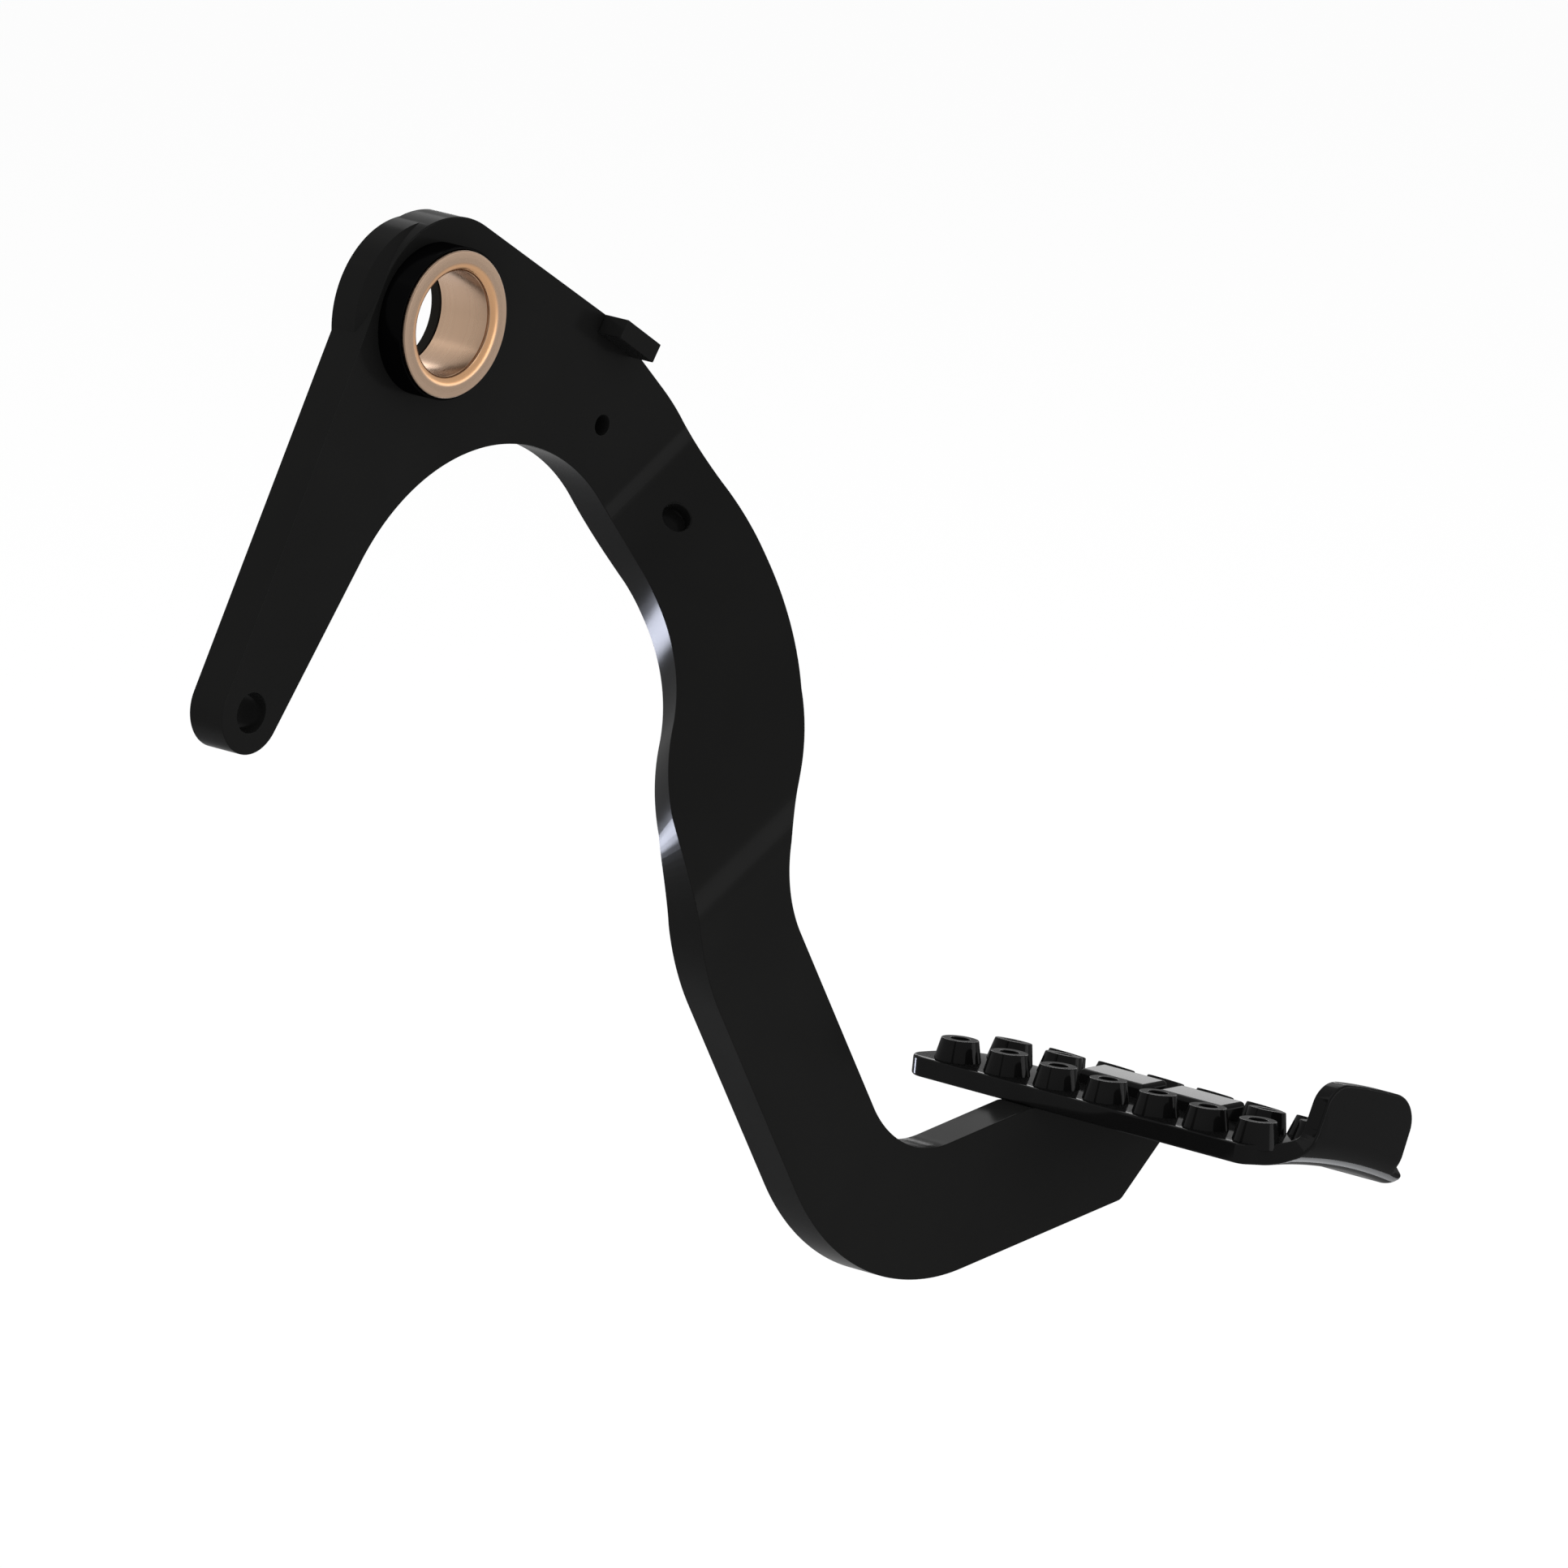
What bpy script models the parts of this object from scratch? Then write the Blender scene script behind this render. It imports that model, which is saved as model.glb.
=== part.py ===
"""Clutch pedal.

A flat lever plate is bent twice so that its long arm runs 40 mm in front of its
head. The head turns on a bronze bush inside a steel boss, the short arm takes the
push rod, a small block on the shoulder is the stop, and the toe carries a curved
foot pad with hollow studs and a lip turned up at one end.

The pivot axis is the Y axis, the front face of the head lies at y = 0 and looks
to -Y, and +Z is up. All sizes are in metres and degrees.
"""

import bmesh
import bpy
from math import asin, atan2, ceil, copysign, cos, degrees, pi, radians, sin, sqrt, tan
from mathutils import Matrix, Vector

GAP = 0.0003                        # air between neighbouring pieces
ARC_STEP = 5.0                      # degrees between the points of a plate's arc

# Lever plate, drawn flat in x and z
PLATE_THICKNESS = 0.0083
PLATE_EDGE = 0.0002                 # rounding along the plate's edges
HEAD_X = 0.0037
HEAD_Z = -0.0008
HEAD_RADIUS = 0.0192
UPPER_EDGE_ANGLE = -36.0
UPPER_EDGE_LENGTH = 0.0424          # from the head's arc to the shoulder
SHOULDER_ANGLE = -49.1
SHOULDER_BEND = 0.0595
ARM_FRONT_X = 0.0782                # upright tangent of the long arm's right edge
ARM_FRONT_BEND = 0.0751
WAIST_X = 0.0657                    # where the right edge turns back
WAIST_Z = -0.1091
WAIST_ANGLE = -122.3
WAIST_BEND = 0.0278
SHANK_X = 0.0752                    # a point on the shank's right edge
SHANK_Z = -0.1583
SHANK_ANGLE = -62.3
SHANK_WIDTH = 0.0249
TOE_TOP_ANGLE = 3.6                 # the top edge meets the pad's underside at its near edge
TOE_TOP_REACH = 0.0006              # beyond that edge
TOE_DEPTH = 0.0260                  # from there to the bottom edge
TOE_BOTTOM_ANGLE = 3.25
TOE_INNER_BEND = 0.0229
TOE_OUTER_BEND = 0.0498
TOE_END_X = 0.1676                  # a point on the sloping end of the toe
TOE_END_Z = -0.2033
TOE_END_ANGLE = 37.7
TOE_END_ROUND = 0.0025
BACK_X = 0.0446                     # where the left edge turns back
BACK_Z = -0.0951
BACK_ANGLE = -125.3
BACK_LOWER_BEND = 0.0560
BACK_UPPER_BEND = 0.0471
ARCH_RIGHT_X = 0.0532
ARCH_TOP_Z = -0.0278
ARCH_RIGHT_BEND = 0.0401
ARCH_LEFT_BEND = 0.0427
ROD_ARM_ANGLE = 49.4                # lower edge of the short arm
ROD_HOLE_X = -0.0490
ROD_HOLE_Z = -0.0653
ROD_HOLE_DIAMETER = 0.0077
ROD_EYE_RADIUS = 0.0079
JIG_HOLE_X = 0.0466
JIG_HOLE_Z = -0.0303
JIG_HOLE_DIAMETER = 0.0040

# The two bends of the plate
BEND_LINE_ANGLE = 25.5              # the bend lines' slope in x and z
BEND_DISTANCE = 0.0608              # from the pivot axis to the first bend
BEND_ANGLE = 45.0
BEND_INNER_RADIUS = 0.018
BEND_OFFSET = 0.040                 # how far the long arm lies in front of the head
BEND_STEPS = 8
WEB_HOLE_ALONG = 0.0344             # place of the blind hole along the bend line
WEB_HOLE_INSET = 0.0015             # ahead of the end of the first bend
WEB_HOLE_DIAMETER = 0.0056
WEB_HOLE_DEPTH = 0.0032

# Round disc of the head, concentric with the pivot
DISC_RADIUS = 0.0180
DISC_CHAMFER = 0.0026
DISC_PROUD = 0.00035                # stands out behind the plate

# Boss and bush
BORE_DIAMETER = 0.0200
BUSH_WALL = 0.0020
FLANGE_WIDTH = 0.0019               # the flange stands out round the bush by this
FLANGE_THICKNESS = 0.0020
FLANGE_FLAT = 0.0022                # flat ring of its face, outside the dish
FLANGE_DISH_DEPTH = 0.00015
LEAD_IN = 0.0004
GROOVE_DEPTH = 0.0002               # fine turned line just inside the bore
GROOVE_WIDTH = 0.0003
GROOVE_INSET = 0.0010
BOSS_RIM = 0.0004                   # wall of the boss round the flange
BOSS_REACH = 0.0062                 # from the plate's front to the flange's face
BOSS_REAR = 0.0008                  # stands out behind the head's disc
SHOULDER_DEPTH = 0.0023             # steel ring behind the bush
ROUND_SEGMENTS = 64

# Stop lug on the shoulder
LUG_LENGTH = 0.0112
LUG_WIDTH = 0.0038
LUG_HEIGHT = 0.0059
LUG_START = 0.0403                  # along the upper edge, from the head's arc
LUG_ANGLE = -36.8
LUG_EDGE = 0.0002

# Foot pad, a plate rolled round an axis parallel to the pivot
PAD_MIDDLE_X = 0.14517              # middle of the tread surface
PAD_MIDDLE_Z = -0.17532
PAD_SLOPE = 18.0                    # of the tread there, down toward +X
PAD_RADIUS = 0.1250                 # to the tread surface
PAD_WIDTH = 0.0432                  # along the tread
PAD_THICKNESS = 0.0039
PAD_EDGE = 0.0005
PAD_END_Y = -0.0068
PAD_CORNER_ROUND = 0.0045
LIP_BEND_Y = -0.0910
LIP_INNER_RADIUS = 0.0050
LIP_HEIGHT = 0.0128                 # above the tread surface
LIP_NEAR_INSET = 0.0180             # the lip's top corner, from the pad's near edge
LIP_NEAR_SWEEP = 0.0019             # the pad's near edge turns before the bend by this
LIP_NEAR_TURN = 0.0100
LIP_NEAR_ROUND = 0.0090
LIP_FAR_INSET = 0.0036              # step from the pad's far corner to the lip
LIP_FAR_START = 0.0065              # that corner lies beyond the start of the bend by this
LIP_FAR_CORNER = 0.0010
LIP_FAR_ROUND = 0.0060
WRAP_STEP = 2.5
LIP_STEPS = 8

# Studs and bars on the tread
STUD_BASE = 0.0091
STUD_TOP = 0.0073
STUD_HEIGHT = 0.0041
STUD_HOLE = 0.00375
STUD_HOLE_DEPTH = 0.0030
STUD_EDGE = 0.0003
STUD_SEGMENTS = 20
STUD_COUNT = 7                      # in a full row
ROW_MIDDLE_Y = -0.0534
STUD_PITCH = 0.01257
MIDDLE_ROW_PITCH = 0.01287          # a little wider, to clear the bars
ROW_PITCH = 0.01545                 # across the tread
NEAR_ROW_SHIFT = 0.0005             # the near row stands nearer to the lever by this
ROWS = 3
BARE_STUDS = 3                      # places in the middle row taken by the bars
BAR_COUNT = 2
BAR_WIDTH = 0.0075
BAR_SPACE = 0.0030
BAR_ROUND = 0.0010

HEAD_CENTRE = Vector((HEAD_X, HEAD_Z))
ROD_CENTRE = Vector((ROD_HOLE_X, ROD_HOLE_Z))
FLANGE_RADIUS = BORE_DIAMETER / 2 + BUSH_WALL + FLANGE_WIDTH
BOSS_RADIUS = FLANGE_RADIUS + GAP + BOSS_RIM
BOSS_BACK = -PLATE_THICKNESS - DISC_PROUD - BOSS_REAR
PAD_NEAR_ANGLE = PAD_SLOPE - degrees(PAD_WIDTH / 2 / PAD_RADIUS)
PAD_FAR_ANGLE = PAD_SLOPE + degrees(PAD_WIDTH / 2 / PAD_RADIUS)
REACH = 0.05                        # overlength of the cutters


def along(degree):
    """Unit vector at an angle in the flat drawing."""
    return Vector((cos(radians(degree)), sin(radians(degree))))


def crossing(p, p_angle, q, q_angle):
    """Where the line through p meets the line through q."""
    u = along(p_angle)
    v = along(q_angle)
    span = q - p
    return p + u * ((span.x * v.y - span.y * v.x) / (u.x * v.y - u.y * v.x))


def arc(centre, radius, start, end):
    """Points of an arc, both ends included."""
    count = max(2, ceil(abs(end - start) / ARC_STEP))
    return [centre + radius * along(start + (end - start) * i / count) for i in range(count + 1)]


def rounded(corners):
    """Open outline through (point, radius) corners, each rounded by its radius."""
    points = [corner[0] for corner in corners]
    turns = [0.0] * len(points)
    for i in range(1, len(points) - 1):
        before = points[i] - points[i - 1]
        after = points[i + 1] - points[i]
        turns[i] = atan2(before.x * after.y - before.y * after.x, before.dot(after))
    reach = [corner[1] * abs(tan(turn / 2)) for corner, turn in zip(corners, turns)]
    share = [1.0] * len(points)
    for i in range(len(points) - 1):
        used = reach[i] + reach[i + 1]
        room = (points[i + 1] - points[i]).length
        if used > room:
            share[i] = min(share[i], room / used)
            share[i + 1] = min(share[i + 1], room / used)
    outline = []
    for i, point in enumerate(points):
        if reach[i] == 0.0:
            outline.append(point)
            continue
        ahead = (point - points[i - 1]).normalized()
        side = copysign(1.0, turns[i])
        radius = corners[i][1] * share[i]
        centre = point - ahead * reach[i] * share[i] + Vector((-ahead.y, ahead.x)) * side * radius
        start = degrees(atan2(ahead.y, ahead.x)) - 90 * side
        outline += arc(centre, radius, start, start + degrees(turns[i]))
    return outline


def material(name, colour, roughness, metallic):
    """Plain surface of one colour."""
    surface = bpy.data.materials.new(name)
    surface.use_nodes = True
    shader = surface.node_tree.nodes["Principled BSDF"]
    shader.inputs["Base Color"].default_value = (*colour, 1.0)
    shader.inputs["Roughness"].default_value = roughness
    shader.inputs["Metallic"].default_value = metallic
    surface.diffuse_color = (*colour, 1.0)
    return surface


def place(name, mesh, collection, surface=None):
    """New object in a collection."""
    item = bpy.data.objects.new(name, mesh)
    collection.objects.link(item)
    if surface:
        mesh.materials.append(surface)
    return item


def plate_mesh(name, outline, thickness, edge):
    """Flat plate from a closed outline, with rounded edges, as a mesh centred on its thickness."""
    curve = bpy.data.curves.new(name, 'CURVE')
    curve.dimensions = '2D'
    curve.fill_mode = 'BOTH'
    curve.extrude = thickness / 2 - edge
    curve.bevel_depth = edge
    curve.bevel_resolution = 1
    curve.offset = -edge
    spline = curve.splines.new('POLY')
    spline.points.add(len(outline) - 1)
    for target, point in zip(spline.points, outline):
        target.co = (point.x, point.y, 0.0, 1.0)
    spline.use_cyclic_u = True
    holder = place(name + "_outline", curve, bpy.context.scene.collection)
    bpy.context.view_layer.update()
    evaluated = holder.evaluated_get(bpy.context.evaluated_depsgraph_get())
    mesh = bpy.data.meshes.new_from_object(evaluated)
    bpy.data.objects.remove(holder)
    return mesh


def bent(mesh, planes, carry):
    """Weld a plate's caps, cut it across at each plane and carry each point to its place."""
    work = bmesh.new()
    work.from_mesh(mesh)
    bmesh.ops.remove_doubles(work, verts=work.verts, dist=0.00002)
    bmesh.ops.dissolve_limit(work, angle_limit=radians(0.3), verts=work.verts, edges=work.edges)
    for normal, distance in planes:
        bmesh.ops.bisect_plane(work, geom=work.verts[:] + work.edges[:] + work.faces[:],
                               dist=0.00001, plane_co=normal * distance, plane_no=normal)
    bmesh.ops.triangulate(work, faces=[face for face in work.faces if len(face.verts) > 4])
    for vertex in work.verts:
        vertex.co = carry(*vertex.co)
    bmesh.ops.recalc_face_normals(work, faces=work.faces)
    work.to_mesh(mesh)
    work.free()


def smooth(mesh, degree):
    """Smooth shading up to an edge angle."""
    mesh.shade_smooth()
    mesh.set_sharp_from_angle(angle=radians(degree))


def turned(name, profile, segments, collection, surface=None):
    """Ring turned from a closed profile of (radius, height) round the local Z axis."""
    mesh = bpy.data.meshes.new(name)
    edges = [(i, (i + 1) % len(profile)) for i in range(len(profile))]
    mesh.from_pydata([(radius, 0.0, height) for radius, height in profile], edges, [])
    item = place(name, mesh, collection, surface)
    screw = item.modifiers.new("Turn", 'SCREW')
    screw.steps = segments
    screw.render_steps = segments
    screw.use_merge_vertices = True
    screw.merge_threshold = 0.00001
    return item


def facing_front(item):
    """Turn a local Z axis to look at -Y."""
    item.rotation_euler = (radians(90), 0.0, 0.0)
    return item


def cylinder(name, radius, depth, collection, segments=ROUND_SEGMENTS):
    """Cutting cylinder along its local Z axis."""
    bpy.ops.mesh.primitive_cylinder_add(vertices=segments, radius=radius, depth=depth)
    item = bpy.context.object
    item.name = name
    for other in item.users_collection:
        other.objects.unlink(item)
    collection.objects.link(item)
    hide_cutter(item)
    return item


def hide_cutter(item):
    """Mark a helper that is not a piece of the pedal."""
    item.hide_render = True
    item.display_type = 'WIRE'


def combine(item, tool, operation):
    """Boolean of two closed meshes."""
    modifier = item.modifiers.new(tool.name, 'BOOLEAN')
    modifier.operation = operation
    modifier.object = tool
    modifier.solver = 'EXACT'


# Lever plate

def upper_edge_start():
    """Where the head's arc runs into the upper edge."""
    return HEAD_CENTRE + HEAD_RADIUS * along(UPPER_EDGE_ANGLE + 90)


def bend_normal():
    """Direction across the bend lines, down the lever, in the flat drawing."""
    return along(BEND_LINE_ANGLE - 90)


def bend_lengths():
    """Distances from the pivot, on the flat plate, where the bends start and end."""
    middle = BEND_INNER_RADIUS + PLATE_THICKNESS / 2
    turn = radians(BEND_ANGLE)
    web = (BEND_OFFSET - 2 * middle * (1 - cos(turn))) / sin(turn)
    first_end = BEND_DISTANCE + middle * turn
    return [BEND_DISTANCE, first_end, first_end + web, first_end + web + middle * turn]


def bend_shortening():
    """How much nearer the bends bring the long arm to the pivot, along the bend normal."""
    middle = BEND_INNER_RADIUS + PLATE_THICKNESS / 2
    turn = radians(BEND_ANGLE)
    start, first_end, second_start, end = bend_lengths()
    run = 2 * middle * sin(turn) + (second_start - first_end) * cos(turn)
    return end - start - run


def joggled(x, z, forward):
    """Place of a point of the flat plate after bending. forward counts from mid thickness."""
    middle = BEND_INNER_RADIUS + PLATE_THICKNESS / 2
    turn = radians(BEND_ANGLE)
    down = bend_normal()
    level = along(BEND_LINE_ANGLE)
    flat = Vector((x, z))
    length = flat.dot(down)
    start, first_end, second_start, end = bend_lengths()
    tilt = 0.0
    run = length
    lift = 0.0
    if length > start:
        tilt = min(length - start, first_end - start) / middle
        run = start + middle * sin(tilt)
        lift = middle * (1 - cos(tilt))
    if length > first_end:
        web = min(length, second_start) - first_end
        run += web * cos(turn)
        lift += web * sin(turn)
    if length > second_start:
        tilt = turn - (min(length, end) - second_start) / middle
        run += middle * (sin(turn) - sin(tilt))
        lift += middle * (cos(tilt) - cos(turn))
    if length > end:
        run += length - end
    run -= forward * sin(tilt)
    lift += forward * cos(tilt)
    spot = down * run + level * flat.dot(level)
    return Vector((spot.x, PLATE_THICKNESS / 2 - lift, spot.y))


def lever_outline():
    """Outline of the flat plate, clockwise from the left of the head."""
    down = bend_normal()
    span = HEAD_CENTRE - ROD_CENTRE
    left_angle = degrees(atan2(span.y, span.x) + asin((HEAD_RADIUS - ROD_EYE_RADIUS) / span.length))
    head_end = upper_edge_start()
    shoulder = head_end + UPPER_EDGE_LENGTH * along(UPPER_EDGE_ANGLE)
    front = Vector((ARM_FRONT_X, 0.0))
    waist = Vector((WAIST_X, WAIST_Z))
    shank = Vector((SHANK_X, SHANK_Z))
    shank_back = shank + SHANK_WIDTH * along(SHANK_ANGLE - 90)
    toe_end = Vector((TOE_END_X, TOE_END_Z))
    back = Vector((BACK_X, BACK_Z))
    arch_right = Vector((ARCH_RIGHT_X, 0.0))
    arch_top = Vector((0.0, ARCH_TOP_Z))
    rod_edge = ROD_CENTRE + ROD_EYE_RADIUS * along(ROD_ARM_ANGLE - 90)
    axis = pad_axis() + down * bend_shortening()
    seat_radius = PAD_RADIUS - PAD_THICKNESS - GAP
    seat_start = 90 - PAD_NEAR_ANGLE + degrees(TOE_TOP_REACH / seat_radius)
    toe_top = axis + seat_radius * along(seat_start)
    toe_bottom = toe_top + TOE_DEPTH * along(TOE_TOP_ANGLE - 90)
    seat_end = line_meets_circle(toe_end, TOE_END_ANGLE, axis, seat_radius)

    points = arc(HEAD_CENTRE, HEAD_RADIUS, left_angle + 90, UPPER_EDGE_ANGLE + 90)
    points += rounded([
        (head_end, 0.0),
        (shoulder, PLATE_EDGE * 5),
        (crossing(shoulder, SHOULDER_ANGLE, front, -90), SHOULDER_BEND),
        (crossing(front, -90, waist, WAIST_ANGLE), ARM_FRONT_BEND),
        (crossing(waist, WAIST_ANGLE, shank, SHANK_ANGLE), WAIST_BEND),
        (crossing(shank, SHANK_ANGLE, toe_top, TOE_TOP_ANGLE), TOE_INNER_BEND),
        (toe_top, 0.0),
    ])[1:-1]
    points += arc(axis, seat_radius, seat_start, seat_end)
    points += rounded([
        (toe_end, 0.0),
        (crossing(toe_end, TOE_END_ANGLE, toe_bottom, TOE_BOTTOM_ANGLE), TOE_END_ROUND),
        (crossing(toe_bottom, TOE_BOTTOM_ANGLE, shank_back, SHANK_ANGLE), TOE_OUTER_BEND),
        (crossing(shank_back, SHANK_ANGLE, back, BACK_ANGLE), BACK_LOWER_BEND),
        (crossing(back, BACK_ANGLE, arch_right, -90), BACK_UPPER_BEND),
        (crossing(arch_right, -90, arch_top, 0), ARCH_RIGHT_BEND),
        (crossing(arch_top, 0, rod_edge, ROD_ARM_ANGLE), ARCH_LEFT_BEND),
        (rod_edge, 0.0),
    ])[1:-1]
    points += arc(ROD_CENTRE, ROD_EYE_RADIUS, ROD_ARM_ANGLE - 90, left_angle + 90 - 360)
    return points


def line_meets_circle(point, angle, centre, radius):
    """Polar angle on the circle where the rising line from the left first meets its top."""
    ahead = along(angle)
    offset = point - centre
    half = offset.dot(ahead)
    root = sqrt(half * half - offset.length_squared + radius * radius)
    first = offset + ahead * (-half - root)
    second = offset + ahead * (-half + root)
    spot = max((first, second), key=lambda place_on: place_on.y)
    return degrees(atan2(spot.y, spot.x))


def build_lever(parts, cutters, surface):
    """Joggled plate with its head disc and its holes."""
    mesh = plate_mesh("lever_plate", lever_outline(), PLATE_THICKNESS, PLATE_EDGE)
    start, first_end, second_start, end = bend_lengths()
    normal = bend_normal().to_3d()
    planes = []
    for i in range(BEND_STEPS + 1):
        planes.append((normal, start + (first_end - start) * i / BEND_STEPS))
        planes.append((normal, second_start + (end - second_start) * i / BEND_STEPS))
    bent(mesh, planes, joggled)
    lever = place("lever_plate", mesh, parts, surface)

    disc_edge = DISC_RADIUS - DISC_CHAMFER
    core = BORE_DIAMETER / 2
    rear = PLATE_THICKNESS + DISC_PROUD
    front = PLATE_EDGE / 4
    disc = turned("head_disc", [(disc_edge, -front), (DISC_RADIUS, -front - DISC_CHAMFER),
                                (DISC_RADIUS, -rear), (core, -rear), (core, -front)],
                  ROUND_SEGMENTS, cutters)
    hide_cutter(facing_front(disc))
    combine(lever, disc, 'UNION')

    pivot = cylinder("pivot_cut", BOSS_RADIUS + GAP, REACH, cutters)
    combine(lever, facing_front(pivot), 'DIFFERENCE')
    rod = cylinder("rod_cut", ROD_HOLE_DIAMETER / 2, REACH, cutters, 32)
    rod.location = (ROD_HOLE_X, 0.0, ROD_HOLE_Z)
    combine(lever, facing_front(rod), 'DIFFERENCE')
    jig = cylinder("jig_cut", JIG_HOLE_DIAMETER / 2, REACH, cutters, 24)
    jig.location = (JIG_HOLE_X, 0.0, JIG_HOLE_Z)
    combine(lever, facing_front(jig), 'DIFFERENCE')

    flat = bend_normal() * (first_end - WEB_HOLE_INSET) + along(BEND_LINE_ANGLE) * WEB_HOLE_ALONG
    face = joggled(flat.x, flat.y, PLATE_THICKNESS / 2)
    inward = joggled(flat.x, flat.y, 0.0) - face
    web = cylinder("web_cut", WEB_HOLE_DIAMETER / 2, WEB_HOLE_DEPTH * 2, cutters, 28)
    web.location = face
    web.rotation_mode = 'QUATERNION'
    web.rotation_quaternion = inward.to_track_quat('Z', 'Y')
    combine(lever, web, 'DIFFERENCE')
    return lever


# Boss, bush and stop lug

def build_boss(parts, surface):
    """Steel tube through the head, with a seat for the flange and a ring behind the bush."""
    outer = BOSS_RADIUS
    rear = BOSS_BACK
    seat = FLANGE_RADIUS + GAP
    seat_depth = BOSS_REACH - FLANGE_THICKNESS - GAP
    sleeve = BORE_DIAMETER / 2 + BUSH_WALL + GAP
    ring = BORE_DIAMETER / 2
    stop = rear + SHOULDER_DEPTH
    edge = BOSS_RIM / 2
    profile = [(outer - edge, BOSS_REACH), (outer, BOSS_REACH - edge), (outer, rear + edge),
               (outer - edge, rear), (ring, rear), (ring, stop), (sleeve, stop),
               (sleeve, seat_depth), (seat, seat_depth), (seat, BOSS_REACH)]
    boss = turned("pivot_boss", profile, ROUND_SEGMENTS, parts, surface)
    return facing_front(boss)


def build_bush(parts, surface):
    """Flanged bronze bush with a rounded lead-in."""
    bore = BORE_DIAMETER / 2
    flange = FLANGE_RADIUS
    sleeve = bore + BUSH_WALL
    rear = BOSS_BACK + SHOULDER_DEPTH + GAP
    back = BOSS_REACH - FLANGE_THICKNESS
    edge = FLANGE_THICKNESS / 20
    end_edge = BUSH_WALL / 5
    groove = BOSS_REACH - GROOVE_INSET
    profile = [(flange - FLANGE_FLAT, BOSS_REACH), (flange - edge, BOSS_REACH),
               (flange, BOSS_REACH - edge), (flange, back), (sleeve, back), (sleeve, rear),
               (bore + end_edge, rear), (bore, rear + end_edge), (bore, groove - GROOVE_WIDTH),
               (bore + GROOVE_DEPTH, groove - GROOVE_WIDTH / 2), (bore, groove)]
    centre = Vector((bore + LEAD_IN, BOSS_REACH - FLANGE_DISH_DEPTH - LEAD_IN))
    steps = 4
    for i in range(steps + 1):
        spot = centre + LEAD_IN * along(180 - 90 * i / steps)
        profile.append((spot.x, spot.y))
    bush = turned("flange_bush", profile, ROUND_SEGMENTS, parts, surface)
    return facing_front(bush)


def build_lug(parts, surface):
    """Small block that overhangs the shoulder."""
    corner = upper_edge_start() + LUG_START * along(UPPER_EDGE_ANGLE)
    middle = corner + LUG_LENGTH / 2 * along(LUG_ANGLE) + LUG_WIDTH / 2 * along(LUG_ANGLE - 90)
    height = LUG_HEIGHT - GAP
    bpy.ops.mesh.primitive_cube_add(size=1.0)
    lug = bpy.context.object
    lug.name = "stop_lug"
    lug.data.name = "stop_lug"
    for other in lug.users_collection:
        other.objects.unlink(lug)
    parts.objects.link(lug)
    lug.data.transform(Matrix.Diagonal((LUG_LENGTH, height, LUG_WIDTH, 1.0)))
    lug.location = (middle.x, -GAP - height / 2, middle.y)
    lug.rotation_euler = (0.0, radians(-LUG_ANGLE), 0.0)
    bevel = lug.modifiers.new("Edges", 'BEVEL')
    bevel.width = LUG_EDGE
    bevel.segments = 1
    lug.data.materials.append(surface)
    return lug


# Foot pad

def pad_axis():
    """Axis of the pad's roll in x and z, below the middle of the tread."""
    return Vector((PAD_MIDDLE_X, PAD_MIDDLE_Z)) - PAD_RADIUS * along(90 - PAD_SLOPE)


def lip_lengths():
    """Distances from the pivot plane, along mid thickness, where the lip's bend ends and its top."""
    middle = LIP_INNER_RADIUS + PAD_THICKNESS / 2
    bend_end = -LIP_BEND_Y + middle * pi / 2
    return bend_end, bend_end + LIP_HEIGHT - LIP_INNER_RADIUS


def rolled(across, back, up):
    """Place of a point of the flat pad. up counts from mid thickness."""
    middle = LIP_INNER_RADIUS + PAD_THICKNESS / 2
    bend_end, top = lip_lengths()
    length = -back
    y = back
    height = up - PAD_THICKNESS / 2
    if length > -LIP_BEND_Y:
        turn = min((length + LIP_BEND_Y) / middle, pi / 2)
        y = LIP_BEND_Y - (middle - up) * sin(turn)
        height = LIP_INNER_RADIUS - (middle - up) * cos(turn)
    if length > bend_end:
        height += length - bend_end
    spot = pad_axis() + (PAD_RADIUS + height) * along(90 - degrees(across / PAD_RADIUS))
    return Vector((spot.x, y, spot.y))


def pad_outline():
    """Outline of the flat pad in (arc length, y), clockwise from the far corner."""
    near = PAD_RADIUS * radians(PAD_NEAR_ANGLE)
    far = PAD_RADIUS * radians(PAD_FAR_ANGLE)
    bend_end, top = lip_lengths()
    sweep = LIP_BEND_Y + LIP_NEAR_SWEEP
    step = LIP_BEND_Y - LIP_FAR_START
    middle_y = PAD_END_Y + (LIP_BEND_Y - PAD_END_Y) / 2
    points = rounded([
        (Vector((far, middle_y)), 0.0),
        (Vector((far, step)), LIP_FAR_CORNER),
        (Vector((far - LIP_FAR_INSET, step)), LIP_FAR_CORNER),
        (Vector((far - LIP_FAR_INSET, -top)), LIP_FAR_ROUND),
        (Vector((near + LIP_NEAR_INSET, -top)), LIP_NEAR_ROUND),
        (Vector((near, sweep)), LIP_NEAR_TURN),
        (Vector((near, PAD_END_Y)), PAD_CORNER_ROUND),
        (Vector((far, PAD_END_Y)), PAD_CORNER_ROUND),
        (Vector((far, middle_y)), 0.0),
    ])
    return points[:-1]


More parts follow.
